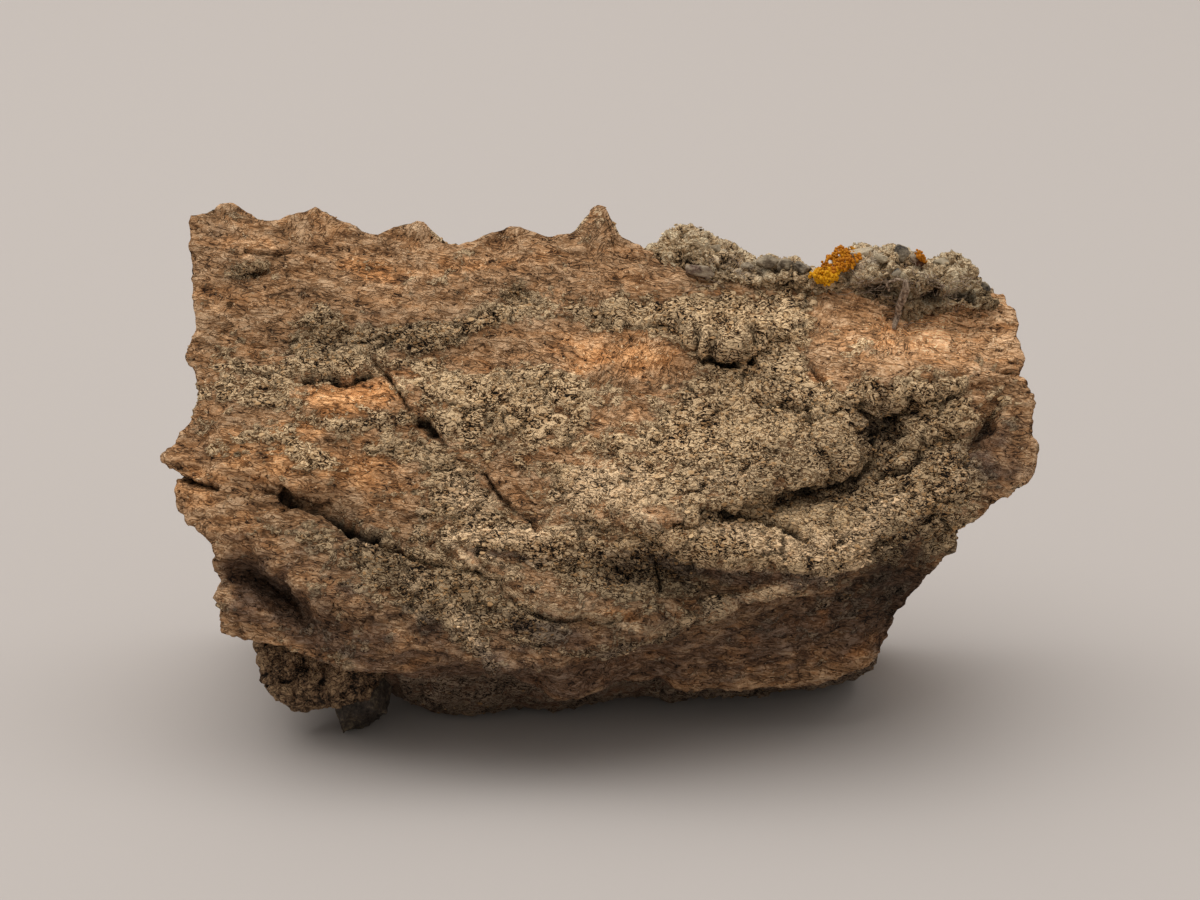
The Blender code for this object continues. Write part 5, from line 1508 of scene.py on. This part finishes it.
@dataclass(frozen=True)
class SedimentCap:
    """The sediment that fills the trough: rounded sections along x under a crumbly, pitted crust."""

    stations: int = 340
    around: int = 170
    under_lip: float = 0.3
    in_trough: float = 9.0
    lip_lift: float = 0.4
    set_back: float = 0.6
    squareness: float = 2.6
    fills_to: float = 14.0
    runs_out: Pair = (43.0, 36.0)
    uneven: Layers = ((4.6, 0.7, 21), (2.2, 0.45, 22))
    holes: tuple[Spot, ...] = (
        (32.4, 18.3, 2.2, 0.7, -6, 1.6), (41.6, 17.4, 1.6, 1, 20, 1.9), (38.2, 17.6, 1.8, 0.6, 0, 1.2),
        (10.5, 20.6, 1.8, 0.6, 0, 0.7), (13.8, 21, 1.4, 0.5, -10, 0.7), (19.6, 20.9, 2.4, 0.4, 0, 0.9),
        (28.6, 20.2, 0.7, 1.6, 20, 0.8), (36.6, 20.6, 1.2, 0.4, -20, 0.8), (16.6, 22.6, 0.5, 1.2, 30, 0.5),
        (23.4, 20.4, 1, 0.5, 30, 0.9),
    )
    limy: tuple[Spot, ...] = (
        (14.6, 22.2, 2.6, 1.3, -20, 0.6), (17.4, 20.6, 3, 0.7, 0, 0.4), (31.4, 22, 2, 1, 0, 0.6),
        (29.8, 20.6, 1.6, 0.7, 0, 0.3), (38, 19.6, 4, 0.4, -4, 0.35), (10, 24.6, 1.6, 0.6, 0, 0.25),
    )
    olive: tuple[Spot, ...] = (
        (38.6, 18.6, 8, 1.4, -8, 0.55), (40.6, 21.4, 3, 1.6, 0, 0.4), (22, 21.4, 3, 1, 0, 0.4),
        (11.6, 21.2, 2.6, 0.9, -10, 0.5), (33.6, 19.8, 2, 0.7, 0, 0.3), (45, 18, 1.4, 1.4, 0, 0.5),
    )

    def section(self, x: Array, angle: Array) -> tuple[Array, Array, Array]:
        """Face points of the cap's skin: a superellipse whose lower half deepens into the trough.

        Args:
            x: Where along the jaw, in metres.
            angle: How far round the section, from its front upwards.
        Returns:
            x, t and n.
        """
        top, lip = at_line(CAP_TOP, x), at_line(CAP_LIP, x) + self.lip_lift * MM
        front, back = at_line(CAP_FRONT, x) - self.set_back * MM, at_line(CAP_BACK, x)
        power = 2 / self.squareness
        forward = np.sign(np.cos(angle)) * np.abs(np.cos(angle)) ** power
        upward = np.sign(np.sin(angle)) * np.abs(np.sin(angle)) ** power
        deep = smooth_step(CAP_TOP[0, 0], self.fills_to * MM, x) * smooth_step(*mm(self.runs_out), x)
        under = (self.under_lip + (self.in_trough - self.under_lip) * deep * (1 - np.abs(forward))) * MM
        t = lip + upward * np.where(upward > 0, top - lip, under)
        return x, t, (front + back) / 2 + (front - back) / 2 * forward

    def build(self) -> Skin:
        """The cap's finished skin, with its point values.

        Its rings lie closer at the ends, by a cosine, and their points closer at the front, by a
        sine. Each point moves along its normal by nodules of two sizes and by two sizes of curling
        ridge, and is pressed in at the holes under the lip.
        """
        ease = (1 - np.cos(np.linspace(0.03, math.pi - 0.03, self.stations))) / 2
        ease = 0.6 * ease + 0.4 * np.linspace(0.0005, 0.9995, self.stations)
        x = CAP_TOP[0, 0] + (CAP_TOP[-1, 0] - CAP_TOP[0, 0]) * ease
        angle = np.linspace(0, 2 * math.pi, self.around, endpoint=False)
        x, angle = np.meshgrid(x, angle - 0.62 * np.sin(angle - 0.6), indexing="ij")
        x, t, n = self.section(x, angle)
        skin = closed_tube(FACE.world(x, t, n))
        skin.points = skin.points + unevenness(skin.points, self.uneven)
        x, t = (np.append(value, [value[0, 0], value[-1, 0]]) for value in (x, t))
        curled = skin.points + unevenness(skin.points, [(0.9, 0.3, 84), (2.4, 0.6, 88)])
        near, second, mark = nodules(curled / (2.9 * MM), 81)
        small, _, small_mark = nodules(curled / (1.3 * MM), 82)
        coarse, fine = ridged(curled / (0.95 * MM), 85), ridged(curled / (0.5 * MM), 86)
        gaps = smooth_step(0.16, 0.0, second - near)
        blocks = smooth_step(0.0, 0.16, lumps(curled / (1.5 * MM), 89))
        blocks = blocks + smooth_step(0.1, 0.2, lumps(curled / (0.8 * MM), 83))
        height = 0.6 * (0.5 - near**2) + 0.3 * (0.4 - small**2)
        height = height + 0.24 * coarse + 0.14 * fine + 0.2 * mark + 0.2 * blocks
        facing = smooth_step(0.0, 0.6, skin.normals() @ FACE.outward())
        hole = spotted(self.holes, x, t) * facing
        skin.pushed(height - 0.3 - 0.4 * gaps)
        skin.points -= FACE.outward() * (hole * MM)[:, None]
        # the tone is darker in the gaps between nodules: painted shade there
        tone = 0.36 + 0.16 * coarse + 0.12 * fine + 0.12 * mark + 0.08 * small_mark
        tone = tone + 0.1 * blocks - 0.2 * gaps
        # painted shade in the holes and in the band under the lip
        sunk = smooth_step(0.3, 1.2, hole)
        under = smooth_step(0.4, -0.9, (t - at_line(CAP_LIP, x)) / MM)
        olive = np.clip(spotted(self.olive, x, t), 0, 1)
        ragged = 0.3 * lumps(curled / (1.2 * MM), 87)
        skin.values = {
            "tone": tone,
            "salt": smooth_step(0.1, 1.0, spotted(self.limy, x, t) + ragged) * smooth_step(0.2, 0.6, tone),
            "light": (1 - 0.8 * sunk) * (1 - 0.4 * olive) * (1 - 0.35 * under),
        }
        return skin

    def stones(self, ground: FrontMap) -> Skin:
        """The stones that stick out of the crust, each where it sits."""
        placed = (
            Stone(11.6, 20.6, (2, 0.8, 0.9), -14, "#6a5347"),
            Stone(19.4, 21.7, (1.3, 0.8, 1.1), 10, "#6a5c4b"),
            Stone(21.4, 21.3, (1.2, 0.8, 1.1), -20, "#5a4d3e"),
            Stone(23.4, 21, (1.1, 0.7, 1.1), -30, "#4d443a"),
            Stone(30.4, 22.7, (1.5, 0.9, 1.3), -8, "#b5a58c"),
            Stone(32.4, 22, (1.1, 0.6, 0.9), -20, "#a39378"),
            Stone(35, 22.6, (1.1, 1.2, 1.2), 20, "#3a342f"),
            Stone(36.4, 21.8, (1.3, 0.8, 1.2), -44, "#5a3a26"),
            Stone(34, 20.3, (0.7, 0.5, 0.6), 0, "#3b3a3a"),
            Stone(44.4, 18.9, (0.7, 0.5, 0.7), -40, "#2f2925"),
            Stone(29.2, 21.2, (0.9, 0.6, 0.7), 40, "#7b6d5d"),
            Stone(17, 21.2, (0.8, 0.5, 0.6), 10, "#6b5d4c"),
            Stone(39.4, 21.6, (1, 0.6, 0.8), -10, "#6b5f48"),
            Stone(13.4, 23.4, (0.7, 0.5, 0.6), 30, "#85745c"),
        )
        return joined([stone.build(ground, number) for number, stone in enumerate(placed)])


@dataclass(frozen=True)
class StoneFoot:
    """The lump of dark soil under the left end and the ironstone pebble in it that meets the ground."""

    lump: tuple[float, ...] = (-32.2, -24.6, -10.0, 7.4, 5.9, 8.0)
    pebble: tuple[float, ...] = (-28.3, -27.6, -9.0, 4.0, 6.8, 4.9)
    uneven: Layers = ((6, 0.9, 31), (2.6, 0.35, 32))
    taper_over: Pair = (0.0, 5.5)
    taper: Pair = (0.8, 1.0)

    def egg(self, sizes: tuple[float, ...], rings: int, around: int, planes: int = 0) -> Skin:
        """An uneven egg: x by the cosine of the polar angle, t and n by its sine times a circle.

        Args:
            sizes: Its middle on the face and its half sizes, in millimetres.
            rings: How many rings of points it has.
            around: How many points go round it.
            planes: How many random planes break it, or none.
        Returns:
            The egg's skin.
        """
        polar = np.linspace(0.03, math.pi - 0.03, rings)
        turn = np.linspace(0, 2 * math.pi, around, endpoint=False)
        polar, turn = np.meshgrid(polar, turn, indexing="ij")
        way = np.stack([-np.cos(polar), np.sin(polar) * np.sin(turn), np.sin(polar) * np.cos(turn)], axis=-1)
        if planes:
            way *= broken(way, planes, 94)[..., None]
        middle, half = np.split(mm(sizes), 2)
        points = FACE.world(*np.moveaxis(middle + half * way, -1, 0))
        return closed_tube(points + unevenness(points, self.uneven))

    def build_lump(self) -> Skin:
        """The silt lump: the egg with nodules of two sizes and curling ridges."""
        skin = self.egg(self.lump, rings=150, around=130, planes=9)
        curled = skin.points + unevenness(skin.points, [(0.9, 0.3, 84)])
        near, second, mark = nodules(curled / (2.6 * MM), 91)
        small, _, small_mark = nodules(curled / (1.1 * MM), 92)
        coarse = ridged(curled / (0.8 * MM), 93)
        gaps = smooth_step(0.15, 0.0, second - near)
        skin.pushed(0.4 * (0.4 - near**2) + 0.2 * (0.3 - small**2) + 0.14 * coarse + 0.2 * mark - 0.2 * gaps)
        # the tone is darker in the gaps between nodules: painted shade there
        tone = 0.45 + 0.16 * coarse + 0.14 * mark + 0.14 * small_mark - 0.2 * gaps
        skin.values = {"tone": tone, "salt": np.zeros(len(tone)), "light": np.ones(len(tone))}
        return skin

    def build_pebble(self) -> Skin:
        """The pebble: the egg, broken by planes and drawn in along x towards its foot."""
        skin = self.egg(self.pebble, rings=110, around=90, planes=14)
        middle = FACE.world(*mm(self.pebble[:3]))[0]
        width = np.interp(skin.points[:, 2], mm(self.taper_over), self.taper)
        skin.points[:, 0] = middle + (skin.points[:, 0] - middle) * width
        skin.pushed(0.12 * lumps(skin.points / (0.9 * MM), 95))
        return skin


@dataclass(frozen=True)
class LichenPatch:
    """A cushion of lichen granules, heaped over an ellipse of the cap. Lengths are in millimetres."""

    middle: Pair
    half: Pair
    turn: float
    count: int
    ripe: float
    heap: float = 1.1
    granule: float = 0.2

    def build(self, ground: FrontMap, seed: int) -> Skin:
        """The patch: granules by the golden angle, each a 20-faced ball, heaped by sqrt(1 - radius^2).

        Args:
            ground: What it grows on.
            seed: What its granules are drawn from.
        Returns:
            Its skin, with how light and how ripe each granule is.
        """
        chance = np.random.default_rng(seed)
        order = np.arange(self.count)
        radius, spin = np.sqrt((order + 0.5) / self.count), order * math.pi * (3 - math.sqrt(5))
        reach = radius * (1 + 0.16 * np.sin(3 * spin + seed) + 0.1 * np.sin(7 * spin))
        turn = math.radians(self.turn)
        along, up = self.half[0] * reach * np.cos(spin), self.half[1] * reach * np.sin(spin)
        x = (self.middle[0] + along * math.cos(turn) - up * math.sin(turn)) * MM
        t = (self.middle[1] + along * math.sin(turn) + up * math.cos(turn)) * MM
        heap = 0.8 + 0.5 * lumps(np.stack([x, t, x * 0], axis=-1) / MM, seed)
        heap = self.heap * np.sqrt(1 - radius**2) * heap + 0.3 * chance.uniform(-1, 1, self.count)
        size = self.granule * chance.uniform(0.75, 1.3, self.count)
        middle = ground.world(x, t, (heap + 0.2) * MM)
        shape, faces = ball(1)
        bumps = 1 + 0.14 * chance.uniform(-1, 1, (self.count, len(shape), 1))
        points = middle[:, None] + shape[None] * bumps * (size * MM)[:, None, None]
        ripe = self.ripe + 0.35 * lumps(middle / (1.4 * MM), seed + 1)
        ripe = ripe + 0.2 * chance.uniform(-1, 1, self.count)
        # granules lower on the cushion are darker: painted shade
        shade = 0.45 + 0.3 * chance.random(self.count) + 0.25 * (heap / self.heap - 0.5)
        values = {"shade": np.repeat(shade, len(shape)), "ripe": np.repeat(np.clip(ripe, 0, 1), len(shape))}
        faces = faces[None] + order[:, None, None] * len(shape)
        return Skin(points.reshape(-1, 3), [faces.reshape(-1, 3)], values)


@dataclass(frozen=True)
class Roots:
    """The dead root under the cap, and the hair-fine roots that curl over the crust with it."""

    radius: float = 0.42
    taper: tuple[float, ...] = (0.6, 1.0, 1.1, 0.95, 0.9, 0.75, 0.4)
    steps: int = 70
    loop_middle: Pair = (34.0, 18.9)
    loop_half: Pair = (1.1, 0.6)
    loop_turn: Pair = (-2.4, 1.4)
    loop_radius: Pair = (0.16, 0.1)
    hair: float = 0.04
    hair_length: Pair = (1.4, 4.2)
    hair_steps: int = 16
    hair_seed: int = 9
    tufts: tuple[tuple[float, float, float, float, int], ...] = (
        (34, 19, 4.5, 1, 20), (39, 19.2, 4, 0.9, 14), (31.5, 18.8, 2.6, 1.2, 9), (42, 18, 2, 1.6, 7),
        (34.6, 15.6, 1.4, 1.6, 6), (16, 21.2, 3.6, 1, 7), (29.4, 20.6, 1.8, 1, 6), (12, 19, 4, 1.4, 5),
    )

    def laid(self, ground: FrontMap, x: Array, t: Array, over: float, reach: int) -> Array:
        """The path of a root that lies on the fossil, with its depth evened out.

        Args:
            ground: What it lies on.
            x: Where it runs along the jaw.
            t: Where it runs up the face.
            over: How far it runs over the foremost surface, in millimetres.
            reach: How many points to each side its depth is averaged over.
        Returns:
            Model points along its middle.
        """
        path, around = ground.world(x, t, over * MM), 2 * reach + 1
        path[:, 1] = np.convolve(np.pad(path[:, 1], reach, "edge"), np.ones(around) / around, "valid")
        return path

    def build(self, ground: FrontMap) -> Skin:
        """The thick root along its points, and a loop of thinner root at its upper end.

        Args:
            ground: What it lies on.
        Returns:
            Its skin.
        """
        share, fine = np.linspace(0, 1, len(ROOTLET)), np.linspace(0, 1, self.steps)
        x, t = (np.interp(fine, share, line) for line in ROOTLET.T[:2])
        path = self.laid(ground, x, t, 0.5, 8)
        radius = self.radius * MM * np.interp(fine, share, self.taper)
        root = thread(path, radius, 18, twist=2.4, wrinkle=0.12)
        turn = np.linspace(*self.loop_turn, self.steps)
        x = self.loop_middle[0] + self.loop_half[0] * np.sin(turn)
        t = self.loop_middle[1] + self.loop_half[1] * np.cos(turn)
        loop = self.laid(ground, x * MM, t * MM, 0.25, 8)
        return joined([root, thread(loop, np.linspace(*self.loop_radius, self.steps) * MM, 10)])

    def hairs(self, ground: FrontMap) -> Skin:
        """The fine roots: each starts in its tuft and turns by a sum of two sines as it runs on.

        Args:
            ground: What they lie on.
        Returns:
            Their skin.
        """
        chance = np.random.default_rng(self.hair_seed)
        share = np.linspace(0, 1, self.hair_steps)
        made = []
        for x, t, wide, high, count in self.tufts:
            for _ in range(count):
                step = chance.uniform(*self.hair_length) / self.hair_steps
                bend = chance.uniform(0, 6.28)
                bend = bend + chance.uniform(-2.4, 2.4) * np.sin(2.2 * share + chance.uniform(0, 6))
                bend = bend + 0.5 * np.sin(9 * share)
                start_x, start_t = x + wide * chance.uniform(-1, 1), t + high * chance.uniform(-1, 1)
                along = start_x + np.cumsum(np.cos(bend)) * step
                up = start_t + np.cumsum(0.6 * np.sin(bend)) * step
                path = self.laid(ground, along * MM, up * MM, 0.12, 2)
                radius = self.hair * MM * (1.1 - 0.6 * share) * chance.uniform(0.7, 1.5)
                made.append(thread(path, radius, 5))
        return joined(made)


# -------- the studio


@dataclass(frozen=True)
class Studio:
    """Warm grey paper that sweeps up behind the fossil, one broad soft light above and the camera."""

    camera_distance: float = 0.45
    lens: float = 117.5
    sensor_width: float = 36.0
    paper_from: float = -2.2
    sweep_from: float = 0.55
    sweep_radius: float = 0.5
    paper_height: float = 2.2
    half_width: float = 1.6
    light_place: Triple = (-0.12, 0.14, 1.0)
    light_aims_at: Triple = (0.0, 0.0, 0.03)
    light_size: float = 1.6
    light_watts: float = 13.7
    light_colour: Triple = (1.0, 0.985, 0.965)
    fill_colour: str = "#f3eee8"
    fill_strength: float = 0.545

    def build(self) -> None:
        """Makes the paper, the light, the world and the camera."""
        self.paper()
        data = bpy.data.lights.new("softbox", "AREA")
        data.size, data.energy, data.color = self.light_size, self.light_watts, self.light_colour
        toward = np.array(self.light_aims_at) - np.array(self.light_place)
        tilt = math.atan2(math.hypot(toward[0], toward[1]), -toward[2])
        turn = (tilt, 0, math.atan2(-toward[0], toward[1]))
        self.place("softbox", data, self.light_place, turn)
        world = bpy.data.worlds.new("studio")
        world.use_nodes = True
        background = world.node_tree.nodes["Background"]
        background.inputs["Color"].default_value = linear(self.fill_colour)
        background.inputs["Strength"].default_value = self.fill_strength
        bpy.context.scene.world = world
        data = bpy.data.cameras.new("camera")
        data.lens, data.sensor_width = self.lens, self.sensor_width
        before = FACE.world(np.array(0.0), np.array(0.0), np.array(self.camera_distance))
        camera = self.place("camera", data, before, (math.pi / 2 - FACE.lean, 0, 0))
        bpy.context.scene.camera = camera
        bpy.context.scene.view_settings.view_transform = "Standard"

    def place(self, name: str, data: bpy.types.ID, location: Sequence, turn: Sequence) -> bpy.types.Object:
        """Puts a light or camera into the scene and returns it."""
        obj = bpy.data.objects.new(name, data)
        obj.location, obj.rotation_euler = location, turn
        bpy.context.scene.collection.objects.link(obj)
        return obj

    def paper(self) -> None:
        """The paper: level in front, a quarter circle, then upright."""
        angle = np.linspace(0, math.pi / 2, 24)
        far = self.sweep_from + self.sweep_radius
        y = np.concatenate([[self.paper_from], self.sweep_from + self.sweep_radius * np.sin(angle), [far]])
        z = np.concatenate([[0.0], self.sweep_radius * (1 - np.cos(angle)), [self.paper_height]])
        sides = (-self.half_width, self.half_width)
        points = np.stack([np.stack([side + 0 * y, y, z], axis=-1) for side in sides])
        index = np.arange(points.size // 3).reshape(2, -1)
        skin = Skin(points.reshape(-1, 3), [grid_faces(index.T)[:, ::-1]])
        make_object("paper", skin, BackgroundPaper().build())


def main() -> None:
    """Builds the fossil piece by piece, then the studio."""
    logging.basicConfig(level=logging.INFO, format="%(message)s")
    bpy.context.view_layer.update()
    jaw = JawBone().build()
    settle(make_object("bone", jaw, FossilBone().build()), "fossil_bone", "jaw_bone")
    crusted = smooth_step(0.4, 0.9, jaw.values.pop("cover"))
    # the crumbs take the tone and the painted light and shade of where they lie, and the umber stain with its
    # painted shade
    shade = (0.2 + 0.75 * jaw.values["tone"]) * jaw.values["light"] * (1 - 0.5 * jaw.values["umber_and_shade"])
    salt = jaw.values["salt"]
    clay = CLAY_CRUMBS.build()
    for name, strewing, dust in (
        ("clay_nodules", Strewing(1800, 0.12, 0.26, 11), 0.0),
        ("clay_crumbs", Strewing(4200, 0.08, 0.18, 12), 0.01),
        ("clay_grains", Strewing(6000, 0.06, 0.12, 13), 0.04),
    ):
        crumbs = strewing.over(jaw, crusted**1.5 + dust, shade, salt)
        settle(make_object(name, crumbs, clay, smooth=False), "fossil_bone")

    cap = SedimentCap()
    crust = cap.build()
    silt = GravellySediment().build()
    settle(make_object("sediment", crust, silt), "sediment", "sediment_cap")
    # the grit takes the tone and the painted shade of the crust where it lies
    shade, salt = (0.2 + 0.7 * crust.values["tone"]) * crust.values["light"], crust.values["salt"]
    grit = Strewing(2600, 0.07, 0.22, 14, sunk=0.4).over(crust, 0 * shade + 1, shade, salt)
    settle(make_object("grit", grit, GRIT.build(), smooth=False), "sediment")
    ground = FrontMap(np.concatenate([jaw.points, crust.points]))
    stones = cap.stones(ground)
    on_stones = FrontMap(np.concatenate([jaw.points, crust.points, stones.points]))
    settle(make_object("stones", stones, MixedStones().build(), smooth=False), "sediment")

    foot = StoneFoot()
    soil = GravellySediment(((0.16, "#21170e"), (0.5, "#86694f"), (0.84, "#bd9c78"))).build("dark_soil")
    settle(make_object("foot_soil", foot.build_lump(), soil), "ironstone", "stone_foot")
    settle(make_object("foot_pebble", foot.build_pebble(), Ironstone().build()), "ironstone", "stone_foot")

    lichen = CrustoseLichen().build()
    upper = LichenPatch((27.7, 21.9), (2.6, 1.4), turn=34, count=210, ripe=0.85).build(ground, 5)
    lower = LichenPatch((26.0, 20.1), (1.7, 1.0), turn=8, count=110, ripe=0.1).build(ground, 6)
    settle(make_object("lichen", joined([upper, lower]), lichen), "lichen", "lichen_patch")
    fleck = LichenPatch((36.9, 22.2), (0.9, 0.4), turn=-50, count=34, ripe=1.0, heap=0.25, granule=0.17)
    fleck = fleck.build(on_stones, 7)
    settle(make_object("fleck", fleck, lichen), "lichen", "lichen_fleck")

    roots, bark = Roots(), DryRoot().build()
    settle(make_object("root", roots.build(ground), bark), "root", "rootlet")
    settle(make_object("root_hairs", roots.hairs(ground), bark), "root")
    Studio().build()


if __name__ == "__main__":
    main()
